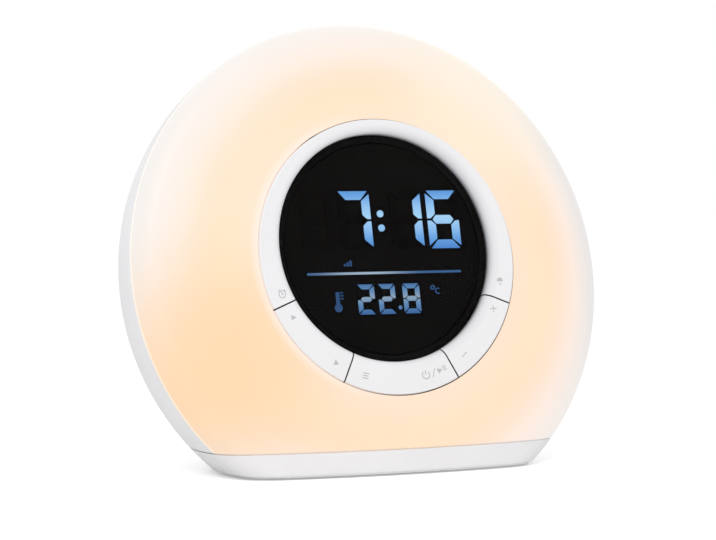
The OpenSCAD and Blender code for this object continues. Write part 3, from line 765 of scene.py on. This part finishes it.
class Finishes(Enum):
    """Every finish of the clock."""

    GLOW = GlowFinish("glow_front", (172, 166, 158), (176, 170, 163), 0.42, 0.5, grain_scale=900, depth=0.008)
    SHELL = Finish("shell_white", (243, 243, 245), (239, 239, 241), 0.42, 0.55, grain_scale=1200, depth=0.012)
    KEY = KeyFinish("key_white", (243, 243, 245), (240, 240, 242), 0.38, 0.5, grain_scale=1400, depth=0.008)
    MARK = Finish("mark_grey", (196, 197, 200), (188, 189, 192), 0.5, 0.6, grain_scale=1500, depth=0.004)
    LENS = Finish(
        "smoked_window", (7, 4, 3), (12, 10, 8), 0.03, 0.07, specular=0.06, depth=0.0002, alpha=0.42
    )
    FRAME = Finish("frame_black", (20, 20, 21), (26, 26, 27), 0.4, 0.55)
    BLOCK = Finish("block_black", (8, 8, 9), (11, 11, 12), 0.5, 0.6, specular=0.2, depth=0.01)
    FOAM = Finish("foam_black", (24, 24, 25), (34, 34, 35), 0.85, 0.95, grain_scale=900, depth=0.2)
    LIT = SegmentFinish("segment_lit", (40, 60, 90), (44, 66, 96), 0.5, 0.6, specular=0.1, depth=0.002)
    DARK = Finish("segment_dark", (9, 9, 11), (11, 11, 13), 0.5, 0.6, specular=0.1, depth=0.002)
    RUBBER = Finish("foot_rubber", (52, 52, 54), (60, 60, 62), 0.75, 0.9, grain_scale=700, depth=0.08)
    GREEN = Finish("board_green", (22, 88, 52), (26, 98, 60), 0.3, 0.5, grain_scale=600, depth=0.03, coat=0.3)
    PALE_BOARD = Finish("board_white", (228, 230, 228), (220, 223, 221), 0.3, 0.45, depth=0.02, coat=0.3)
    CHASSIS = Finish("chassis_white", (244, 244, 240), (238, 238, 234), 0.5, 0.65, depth=0.03)
    SWITCH = Finish("switch_black", (32, 32, 34), (38, 38, 40), 0.4, 0.55)
    PLUNGER = Finish("plunger_grey", (196, 196, 194), (186, 186, 184), 0.4, 0.55)
    PHOSPHOR = Finish("led_phosphor", (250, 226, 140), (246, 216, 120), 0.3, 0.4)
    STEEL = Finish("basket_steel", (176, 178, 182), (160, 162, 166), 0.28, 0.45, 1.0, stretch=(1, 1, 14))
    FERRITE = Finish("magnet_ferrite", (64, 64, 68), (74, 74, 78), 0.5, 0.65, depth=0.06, grain_scale=800)
    SURROUND = Finish("surround_rubber", (34, 34, 36), (42, 42, 44), 0.6, 0.75, depth=0.03)
    CONE = Finish("cone_paper", (50, 49, 48), (62, 60, 58), 0.8, 0.92, grain_scale=500, depth=0.15)
    SHIELD = Finish(
        "shield_tin", (196, 198, 202), (180, 182, 186), 0.25, 0.4, 1.0, stretch=(1, 6, 1), depth=0.015
    )
    CHIP = Finish("component_black", (34, 34, 36), (42, 42, 44), 0.5, 0.65, depth=0.03)
    CREAM = Finish("connector_cream", (236, 230, 208), (228, 221, 198), 0.4, 0.55)
    RIBBON = Finish("ribbon_grey", (176, 178, 182), (164, 166, 170), 0.45, 0.6, stretch=(9, 1, 1), depth=0.04)
    LEAD = Finish("lead_red", (172, 38, 34), (156, 32, 30), 0.4, 0.55)
    JACK = Finish("jack_black", (28, 28, 30), (34, 34, 36), 0.4, 0.55)
    CELL = Finish(
        "cell_steel", (206, 208, 210), (190, 192, 195), 0.2, 0.32, 1.0, stretch=(1, 10, 1), depth=0.01
    )
    BRASS = Finish(
        "contact_brass", (206, 172, 98), (190, 156, 84), 0.22, 0.36, 1.0, stretch=(8, 1, 1), depth=0.01
    )
    SCREW = Finish("screw_steel", (172, 174, 178), (150, 152, 156), 0.25, 0.42, 1.0)
    SENSOR = Finish("sensor_green", (38, 104, 60), (46, 116, 68), 0.3, 0.45)


def dress(target: Piece, finish: Finishes) -> Piece:
    """Gives an object one finish all over."""
    target.data.materials.clear()
    target.data.materials.append(finish.value.material())
    return target


def dress_nodes(names: Iterable[str], finish: Finishes) -> None:
    """Gives carried-over solids one finish."""
    for name in names:
        dress(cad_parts[name], finish)
        LOG.info("dressed solid %s in %s", name, finish.value.name)


def settle(obj: Piece, finish: Finishes, body: str, slot: str, *nodes: str) -> Piece:
    """Dresses a new piece and hangs it on its body.

    Args:
        obj: the piece, in the row frame.
        finish: its finish.
        body: the body it rides on.
        slot: the record's material slot; not used.
        *nodes: the solids that it stands for.

    Returns:
        The piece.
    """
    dress(obj, finish)
    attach(obj, body)
    if nodes:
        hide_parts(*nodes)
    LOG.info("piece %s on %s, %d faces", obj.name, body, len(obj.data.polygons))
    return obj


# ---------------------------------------------------------------- the clock's sub-assemblies


@dataclass(frozen=True)
class CaseForm:
    """The outer form that the front, the rear housing and the base are cut from."""

    body_r: float = BODY_R
    dome_r: float = 300.0
    dome_rise: float = 20.9
    back_r: float = 39.5
    side_r: float = 65.5
    side_turn: float = 50.0
    split: float = 9.6
    low: float = 0.8
    step: float = 0.7

    @property
    def dome_drop(self) -> float:
        """How far behind the face's origin the dome's own centre lies."""
        return self.dome_r - self.dome_rise

    @property
    def rim_roll(self) -> float:
        """Radius of the rounding where the dome meets the rim."""
        top = self.dome_r**2 - self.dome_drop**2 - self.body_r**2
        return top / (2 * (self.dome_r - self.body_r))

    @property
    def edge_shift(self) -> float:
        """How far the middles of the two rear roundings lie apart."""
        return (self.back_r - (self.body_r - self.side_r)) / math.cos(math.radians(self.side_turn))

    @property
    def edge_drop(self) -> float:
        """How far the tighter rear rounding's middle lies behind the seam."""
        return self.edge_shift * math.sin(math.radians(self.side_turn))

    @property
    def back_depth(self) -> float:
        """How deep the rear housing is."""
        return self.edge_drop + self.side_r - self.edge_shift

    def front(self, inset: float) -> list[Point]:
        """The dome's half profile from the rim to the axis, inset from the outside."""
        roll = self.rim_roll
        turn = math.degrees(math.asin((self.body_r - roll) / (self.dome_r - roll)))
        rim = arc((self.body_r - roll, 0), roll - inset, 0, 90 - turn, 14)
        dome = arc((0, -self.dome_drop), self.dome_r - inset, 90 - turn, 90, 26)
        return rim + dome[1:]

    def back(self, inset: float) -> list[Point]:
        """The rear's half profile from the rim to the axis, inset from the outside."""
        side = arc((self.body_r - self.side_r, 0), self.side_r - inset, 0, -self.side_turn, 26)
        edge_r = self.side_r - self.edge_shift - inset
        edge = arc((self.back_r, -self.edge_drop), edge_r, -self.side_turn, -90, 20)
        return side + edge[1:] + [(0.0, -(self.back_depth - inset))]

    def solid(self, inset: float) -> Piece:
        """The whole form as a closed solid in the row frame."""
        profile = self.front(inset) + list(reversed(self.back(inset)))[:-1]
        return place(revolve("form", profile, 240), face_frame())


@dataclass
class LitFront:
    """The milky front with its round opening and the sleeve inside it."""

    form: CaseForm
    wall: float = 2.2
    edge: float = 0.25
    sleeve_t: float = 1.6
    sleeve_low: float = 3.0
    sleeve_top: float = 12.2
    shell: Piece | None = None

    def build(self) -> None:
        """Makes the shell and the sleeve round the clock."""
        outer = self.form.front(0.0)
        outer[0:1] = [(self.form.body_r - self.edge, 0.0), (self.form.body_r, self.edge)]
        inner = list(reversed(self.form.front(self.wall)))
        shell = place(revolve("glow_front_shell", outer + inner, 240), face_frame())
        clock = face_frame(RING_UP, CLOCK_OUT)
        carve(shell, place(drum(OPENING_R, -5, 30, steps=192), clock))
        trim(shell, self.form.split, -1)
        smooth(shell)
        section = box(OPENING_R, self.sleeve_low, OPENING_R + self.sleeve_t, self.sleeve_top)
        sleeve = place(revolve("sleeve", section, 192), clock)
        soften(sleeve, 0.2, 1)
        smooth(sleeve)
        self.shell = join("glow_front_shell", [shell, sleeve])

    def dress(self) -> None:
        """Lights the front."""
        settle(self.shell, Finishes.GLOW, "case", "diffuser_glow", "diffuser")


@dataclass
class RearHousing:
    """The white rear housing with its speaker recess, screw wells, inlet and air slots."""

    form: CaseForm
    wall: float = 2.4
    seam_depth: float = 0.8
    seam_width: float = 0.5
    grille_r: float = 27.7
    throat_r: float = 25.5
    grille_depth: float = 1.6
    screw_angles: tuple[float, ...] = (40, 140, 205, 335)
    screw_ring_r: float = 80.8
    head_r: float = 3.4
    head_seat: float = -14.0
    inlet_up: float = -34.0
    inlet_r: float = 4.3
    well_r: float = 4.6
    screw_r: float = 1.7
    well_front: float = -5.0
    seam_lip: float = 0.15
    slot: Point = (14.0, 1.8)
    slot_side: float = 19.0
    slot_up: float = 10.5
    slot_pitch: float = 4.2
    shell: Piece | None = None

    @property
    def screw_spots(self) -> list[Point]:
        """Where the four screws stand on the face."""
        return [polar(angle, self.screw_ring_r) for angle in self.screw_angles]

    def build(self) -> None:
        """Makes the shell, cuts its openings and adds the screw wells."""
        body, groove = self.form.body_r, self.seam_width
        floor, lip = body - self.seam_depth, body - self.seam_lip
        edge = [(floor, 0.0), (floor, -groove), (lip, -groove)]
        curve = [p for p in self.form.back(0.0) if p[1] < -groove - 0.2]
        inner = list(reversed(self.form.back(self.wall)))
        shell = place(revolve("rear_shell", edge + curve + inner, 240), face_frame())
        carve(shell, *self._openings())
        trim(shell, self.form.split, -1)
        wells = join("wells", [self._well(x, y) for x, y in self.screw_spots])
        carve(wells, self.form.solid(self.wall / 2), operation="INTERSECT")
        smooth(wells)
        smooth(shell)
        self.shell = join("rear_shell", [shell, wells])

    def _openings(self) -> list[Piece]:
        """The cutting tools of the screw heads, the speaker, the inlet and the air slots."""
        depth = self.form.back_depth
        far, near = -depth - 6, -depth + 12
        face, speaker = face_frame(), face_frame(SPEAKER_UP)
        tools = [place(drum(self.head_r, far, self.head_seat, spot, 40), face) for spot in self.screw_spots]
        tools.append(place(drum(self.grille_r, far, -depth + self.grille_depth, steps=96), speaker))
        tools.append(place(drum(self.throat_r, far, near, steps=96), speaker))
        tools.append(place(drum(self.inlet_r, far, near, (0, self.inlet_up), 48), face))
        for side in (-1, 1):
            for row in range(3):
                spot = (side * self.slot_side, self.inlet_up + self.slot_up - row * self.slot_pitch)
                tools.append(place(slot_tool(spot, *self.slot, far, near), face))
        return tools

    def _well(self, x: float, y: float) -> Piece:
        """The tube round one screw well."""
        r, seat, low, front = self.head_r, self.head_seat, -self.form.back_depth, self.well_front
        profile = [(self.screw_r, front), (self.well_r, front), (self.well_r, low), (r, low), (r, seat)]
        return place(revolve("well", profile + [(self.screw_r, seat)], 40), face_frame() @ shift(x, y))

    def dress(self) -> None:
        """Paints the housing."""
        settle(self.shell, Finishes.SHELL, "case", "housing_white", "rear_housing")


@dataclass
class Base:
    """The flat base with its stepped foot, screw wells, battery opening and air slots."""

    form: CaseForm
    wall: float = 4.2
    floor: float = 3.2
    seam: float = 0.5
    step_in: float = 0.7
    neck_in: float = 0.8
    screw_spots: tuple[Point, ...] = ((53, 3), (-53, 3), (36, 17), (-36, 17))
    foot_spots: tuple[Point, ...] = ((44, -14), (-44, -14), (24, 31), (-24, 31))
    well_r: float = 3.4
    well_top: float = 4.2
    foot_r: float = 4.7
    cap_off: float = 2.0
    cap_r: float = 13.35
    slot: Point = (14.0, 1.4)
    slot_at: Point = (-38.0, -3.8)
    slot_pitch: float = 3.2
    tray: Piece | None = None

    def build(self) -> None:
        """Cuts the base out of the case's form and opens its underside."""
        split, low, step = self.form.split, self.form.low, self.form.step
        tray = self._band("base_tray", 0.0, low + step, split - self.seam)
        neck = self._band("neck", self.neck_in, split - self.seam - 0.2, split)
        foot = self._band("foot", self.step_in, low, low + step + 0.2)
        soften(tray, 0.25, 2, 60)
        hollow = self._band("hollow", self.wall, self.floor, split + 1)
        carve(tray, neck, foot, operation="UNION")
        carve(tray, hollow)
        through, table = self.floor + 1, table_frame()
        tools = [place(drum(self.foot_r, -1, low + 1, spot, 48), table) for spot in self.foot_spots]
        tools += [place(drum(self.well_r, -1, self.well_top, spot, 40), table) for spot in self.screw_spots]
        tools.append(place(drum(self.cap_r, -1, through, (0, self.cap_off), 96), table))
        x, y = self.slot_at
        for row in range(4):
            slot = slot_tool((x, y + row * self.slot_pitch), *self.slot, -1, through)
            tools.append(place(slot, table))
        carve(tray, *tools)
        smooth(tray)
        self.tray = tray

    def _band(self, name: str, inset: float, low: float, high: float) -> Piece:
        """A level slice of the form.

        Args:
            name: the slice's name.
            inset: how far it lies inside the form.
            low: its underside.
            high: its top.

        Returns:
            The closed slice, in the row frame.
        """
        band = self.form.solid(inset)
        band.name = name
        trim(band, low, -1)
        trim(band, high, 1)
        return band

    def dress(self) -> None:
        """Paints the base, and dresses what the base carries."""
        settle(self.tray, Finishes.SHELL, "case", "housing_white", "base")
        dress_nodes(["rubber_feet"], Finishes.RUBBER)
        dress_nodes(["battery_cap"], Finishes.SHELL)
        dress_nodes(["coin_cell"], Finishes.CELL)
        dress_nodes(["cell_contacts"], Finishes.BRASS)
        dress_nodes(["temperature_sensor"], Finishes.SENSOR)


@dataclass
class KeyRing:
    """The four rocking keys round the window, with their small printed signs."""

    ring_r: float = 49.92
    low: float = 10.2
    top: float = 14.8
    inner_r: float = 36.0
    window_r: float = 41.45
    bevel_r: float = 44.6
    bevel_low: float = 12.35
    middle_r: float = 46.0
    edge: float = 0.45
    gap: float = 0.4
    sign_h: float = 0.03
    sign_sunk: float = 0.02
    keys: dict[str, Piece] = field(default_factory=dict)
    signs: dict[str, Piece] = field(default_factory=dict)

    def build(self) -> None:
        """Makes the four keys and their signs."""
        ring = face_frame(RING_UP, CLOCK_OUT)
        for body, span in KEY_SPANS.items():
            self.keys[body] = place(self._key(body, *span), ring)
        makers = (self._top_signs, self._left_signs, self._bottom_signs, self._right_signs)
        for body, make in zip(KEY_SPANS, makers):
            self.signs[body] = place(join(body + "_signs", make()), ring)

    def _key(self, body: str, first: float, last: float) -> Piece:
        """One key as a swept bar with the round window cut out of its inner side.

        Args:
            body: the body it moves with.
            first: the angle of its one end, in degrees.
            last: the angle of its other end, in degrees.

        Returns:
            The key, in the ring's frame.
        """
        half_gap = math.degrees(self.gap / 2 / self.middle_r)
        r, c = self.ring_r, self.edge
        rounding = arc((r - c, self.top - c), c, 0, 90, 5)
        profile = [(self.inner_r, self.low), (r, self.low), *rounding, (self.inner_r, self.top)]
        sweep = last - first - 2 * half_gap
        key = revolve(body + "_cap", profile, max(24, round(sweep / 1.5)), first + half_gap, sweep)
        carve(key, self._window_tool())
        soften(key, 0.12, 2, 50)
        smooth(key, 25)
        return key

    def _window_tool(self) -> Piece:
        """The cutting tool of the window: a bore with a rounded mouth."""
        r, low, past = self.bevel_r, self.bevel_low, self.bevel_r + 3
        wide, deep = r - self.window_r, self.top - low
        turns = (math.radians(t) for t in range(90, -1, -9))
        mouth = [(r - wide * math.sin(t), low + deep * math.cos(t)) for t in turns]
        profile = [(0, 5), (self.window_r, 5), *mouth, (past, self.top + 0.01), (past, 20), (0, 20)]
        up = Matrix.Translation((0, (WINDOW_UP - RING_UP) * MM, 0))
        return place(revolve("tool", profile, 240), up)

    def _bar(self, x: float, y: float, length: float, width: float, turn: float) -> Piece:
        """A short printed stroke with its middle at a place, turned by degrees."""
        a, b = length / 2, width / 2
        return self._sign(box(-a, -b, a, b), x, y, turn)

    def _sign(self, outline: Sequence[Point], x: float, y: float, turn: float = 0.0) -> Piece:
        """A printed shape at a place of the ring, turned by degrees."""
        sign = plate("sign", outline, self.top - self.sign_sunk, self.top + self.sign_h)
        return place(sign, shift(x, y) @ turned(turn))

    def _hoop(self, x: float, y: float, r: float, width: float, first: float, sweep: float) -> Piece:
        """A printed circle line round a place, or the part of it that a sweep in degrees covers."""
        section = box(r - width / 2, self.top - self.sign_sunk, r + width / 2, self.top + self.sign_h)
        return place(revolve("sign", section, 40, first, sweep), shift(x, y))

    def _top_signs(self) -> list[Piece]:
        """An alarm clock at the left end of the long key and a lamp at its right end."""
        x, y = polar(-163.2, 44.9)
        clock = [
            self._hoop(x, y, 1.25, 0.34, 0, 360),
            self._bar(x - 0.18, y + 0.36, 0.9, 0.3, 110),
            self._bar(x + 0.26, y + 0.02, 0.7, 0.3, 25),
            self._bar(x - 1.05, y + 1.35, 0.9, 0.34, 45),
            self._bar(x + 1.05, y + 1.35, 0.9, 0.34, -45),
        ]
        x, y = polar(-13.4, 44.7)
        dome = [(-1.25, -0.2), (1.25, -0.2), *arc((0, 0), 1.2, 0, 180, 14)]
        lamp = [self._sign(dome, x, y + 0.3), self._bar(x, y - 0.85, 0.8, 0.5, 0)]
        return clock + lamp

    def _left_signs(self) -> list[Piece]:
        """Two arrow heads."""
        head = [(-0.85, -0.95), (1.1, 0.0), (-0.85, 0.95)]
        x1, y1 = polar(-151.7, 44.9)
        x2, y2 = polar(-123.7, 45.2)
        return [self._sign(head, x1, y1, 2), self._sign(head, x2, y2, 90)]

    def _bottom_signs(self) -> list[Piece]:
        """A list sign, an on sign, a stroke and a play and pause sign."""
        x, y = polar(-108.2, 45.0)
        rows = [self._bar(x + 0.3 * k, y + 0.85 * k, 2.2, 0.36, -12) for k in (-1, 0, 1)]
        x, y = polar(-76.8, 45.0)
        x, y = x - 0.7, y + 0.5
        on = [self._hoop(x, y, 1.4, 0.36, 128, 284), self._bar(x - 0.1, y + 0.85, 1.5, 0.36, 98)]
        x, y = polar(-72.4, 45.0)
        stroke = [self._bar(x - 0.85, y + 0.2, 3.3, 0.28, 76)]
        x, y = polar(-68.6, 45.0)
        head = [(-0.95, -1.0), (1.0, 0.0), (-0.95, 1.0)]
        play = [self._sign(head, x - 1.1, y + 0.1, 24)]
        play += [self._bar(x + 0.35 + 0.72 * k, y + 0.75 + 0.3 * k, 1.9, 0.34, 114) for k in (0, 1)]
        return rows + on + stroke + play

    def _right_signs(self) -> list[Piece]:
        """A minus and a plus."""
        x, y = polar(-54.2, 45.0)
        minus = [self._bar(x - 0.6, y, 2.6, 0.38, 42)]
        x, y = polar(-27.0, 44.4)
        a, b = 0.19, 1.25
        outline = [(a, a), (a, b), (-a, b), (-a, a), (-b, a), (-b, -a)]
        outline += [(-p, -q) for p, q in outline]
        return minus + [self._sign(outline, x, y)]

    def dress(self) -> None:
        """Paints the keys and prints their signs."""
        for body, key in self.keys.items():
            settle(key, Finishes.KEY, body, "key_white", body)
        for body, sign in self.signs.items():
            settle(sign, Finishes.MARK, body, "key_white")


@dataclass
class ClockWindow:
    """The smoked window and the display behind it."""

    lens_r: float = 41.0
    low: float = 10.6
    top: float = 12.2
    edge: float = 0.3
    display_top: float = 9.9
    mark_h: float = 0.35
    unit_at: Point = (20.4, -15.9)
    unit_r: float = 0.74
    unit_w: float = 0.42
    stroke_at: Point = (-18.5, -15.9)
    stroke_pitch: float = 1.1
    status_at: Point = (-15.8, -6.3)
    status_pitch: float = 1.15
    lens: Piece | None = None
    marks: Piece | None = None

    def build(self) -> None:
        """Makes the window with its rounded edge, and the small lit marks of the display."""
        r, e, window = self.lens_r, self.edge, face_frame(WINDOW_UP, CLOCK_OUT)
        rounding = arc((r - e, self.top - e), e, 0, 90, 5)
        lens = revolve("smoked_window_glass", [(0, self.low), (r, self.low), *rounding, (0, self.top)], 240)
        smooth(lens)
        self.lens = place(lens, window)
        self.marks = place(join("display_marks", self._small_marks()), window)

    def _small_marks(self) -> list[Piece]:
        """The unit beside the temperature, the cross strokes of the thermometer and a small status mark."""
        low, high = self.display_top, self.display_top + self.mark_h
        unit = revolve("mark", box(self.unit_r, low, self.unit_r + self.unit_w, high), 24, 50, 260)
        marks = [place(unit, shift(*self.unit_at))]
        x, y = self.stroke_at
        rows = [y - self.stroke_pitch * k for k in range(3)]
        outlines = [box(x, row, x + 1.2, row + 0.4) for row in rows]
        x, y = self.status_at
        columns = [(x + self.status_pitch * k, 0.9 + 0.6 * k) for k in range(3)]
        outlines += [box(left, y, left + 0.7, y + tall) for left, tall in columns]
        return marks + [plate("mark", outline, low, high) for outline in outlines]

    def dress(self) -> None:
        """Darkens the window and lights the display."""
        settle(self.lens, Finishes.LENS, "case", "smoked_lens", "window_lens")
        settle(self.marks, Finishes.LIT, "case", "segment_lit")
        dress_nodes(["lit_segments"], Finishes.LIT)
        dress_nodes(["dark_segments"], Finishes.DARK)
        dress_nodes(["display_block"], Finishes.BLOCK)
        dress_nodes(["display_frame"], Finishes.FRAME)
        dress_nodes(["display_gasket", "speaker_gasket"], Finishes.FOAM)


@dataclass
class Insides:
    """What the case holds: light board, speaker, main board and fasteners."""

    finishes: dict[Finishes, tuple[str, ...]] = field(
        default_factory=lambda: {
            Finishes.GREEN: ("display_board", "main_board"),
            Finishes.PALE_BOARD: ("led_board",),
            Finishes.CHASSIS: ("light_chassis",),
            Finishes.PHOSPHOR: ("wake_leds",),
            Finishes.SWITCH: ("switch_bodies",),
            Finishes.PLUNGER: ("switch_plungers",),
            Finishes.SHELL: ("speaker_grille",),
            Finishes.STEEL: ("speaker_basket",),
            Finishes.FERRITE: ("speaker_magnet",),
            Finishes.SURROUND: ("speaker_surround",),
            Finishes.CONE: ("speaker_cone",),
            Finishes.SHIELD: ("radio_module",),
            Finishes.CHIP: ("board_components",),
            Finishes.CREAM: ("ribbon_connectors",),
            Finishes.RIBBON: ("ribbon_cable",),
            Finishes.LEAD: ("speaker_leads",),
            Finishes.JACK: ("dc_jack",),
            Finishes.SCREW: tuple(
                f"{part}_screws" for part in ("speaker", "housing", "base", "display", "board")
            ),
        }
    )

    def dress(self) -> None:
        """Dresses every solid inside."""
        for finish, names in self.finishes.items():
            dress_nodes(names, finish)


@dataclass
class Studio:
    """The pale floor, the soft light and the camera of the photograph."""

    eye: Point = (-0.442689, -0.929298, 0.116885)
    look: Point = (0.43391, 0.899829, -0.045045)
    lens: float = 141.08
    fill: float = 0.78
    key_watts: float = 11.0
    key_at: Point = (-0.9, -1.3, 1.5)
    key_size: float = 1.3
    key_aim: Point = (0.0, 0.0, 0.08)
    floor_glow: float = 0.34

    def build(self) -> None:
        """Sets up floor, world, lamp and camera."""
        self._floor()
        self._world()
        self._lamp()
        camera = bpy.data.objects.new("camera", bpy.data.cameras.new("camera"))
        bpy.context.scene.collection.objects.link(camera)
        camera.location = self.eye
        camera.rotation_euler = Vector(self.look).to_track_quat("-Z", "Y").to_euler()
        camera.data.lens = self.lens
        camera.data.sensor_width = 36.0
        camera.data.clip_end = 50.0
        bpy.context.scene.camera = camera
        bpy.context.scene.view_settings.view_transform = "Standard"

    def _lamp(self) -> None:
        """A large soft lamp that points at the clock."""
        data = bpy.data.lights.new("soft_key", "AREA")
        data.size = self.key_size
        data.energy = self.key_watts
        lamp = bpy.data.objects.new("soft_key", data)
        bpy.context.scene.collection.objects.link(lamp)
        lamp.location = self.key_at
        way = Vector(self.key_aim) - Vector(self.key_at)
        lamp.rotation_euler = way.to_track_quat("-Z", "Y").to_euler()

    def _floor(self) -> None:
        """A plain floor that looks white to the camera and keeps the clock's soft shadow."""
        clear_selection()
        bpy.ops.mesh.primitive_plane_add(size=6.0, location=(0, 0, 0))
        floor = bpy.context.object
        floor.name = "studio_floor"
        material = bpy.data.materials.new("studio_white")
        material.use_nodes = True
        board = NodeBoard(material.node_tree)
        board.spot = board.add("TexCoord").outputs["Object"]
        cloud = board.noise(3.0, 2.0)
        seen = board.add("LightPath").outputs["Is Camera Ray"]
        inputs = {
            "Base Color": board.ramp(cloud, [(0.3, (244, 244, 244)), (0.7, (247, 247, 247))]),
            "Roughness": 0.9,
            "Specular IOR Level": 0.0,
            "Emission Color": board.mix(seen, (0, 0, 0, 1), (*[self.floor_glow] * 3, 1)),
            "Emission Strength": 1.0,
        }
        board.add("OutputMaterial", {"Surface": board.add("BsdfPrincipled", inputs).outputs[0]})
        floor.data.materials.append(material)

    def _world(self) -> None:
        """White where it is seen or reflected, a plain even light elsewhere."""
        world = bpy.data.worlds.new("studio")
        world.use_nodes = True
        bpy.context.scene.world = world
        board = NodeBoard(world.node_tree)
        rays = board.add("LightPath").outputs
        seen = board.math("ADD", rays["Is Camera Ray"], rays["Is Glossy Ray"])
        joined = {0: seen, 1: rays["Is Transmission Ray"]}
        seen = board.add("Math", joined, operation="ADD", use_clamp=True).outputs[0]
        strength = board.span(seen, 0.0, 1.0, self.fill, 1.0)
        sky = board.add("Background", {"Color": (1, 1, 1, 1), "Strength": strength})
        board.add("OutputWorld", {"Surface": sky.outputs[0]})


def main() -> None:
    """Builds and dresses every sub-assembly, then sets up the studio."""
    logging.basicConfig(level=logging.INFO, format="%(name)s: %(message)s")
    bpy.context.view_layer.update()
    form = CaseForm()
    assemblies = [LitFront(form), RearHousing(form), Base(form), KeyRing(), ClockWindow()]
    for assembly in assemblies:
        assembly.build()
        assembly.dress()
        LOG.info("finished %s", type(assembly).__name__)
    Insides().dress()
    Studio().build()
    clear_selection()


if __name__ == "__main__":
    main()
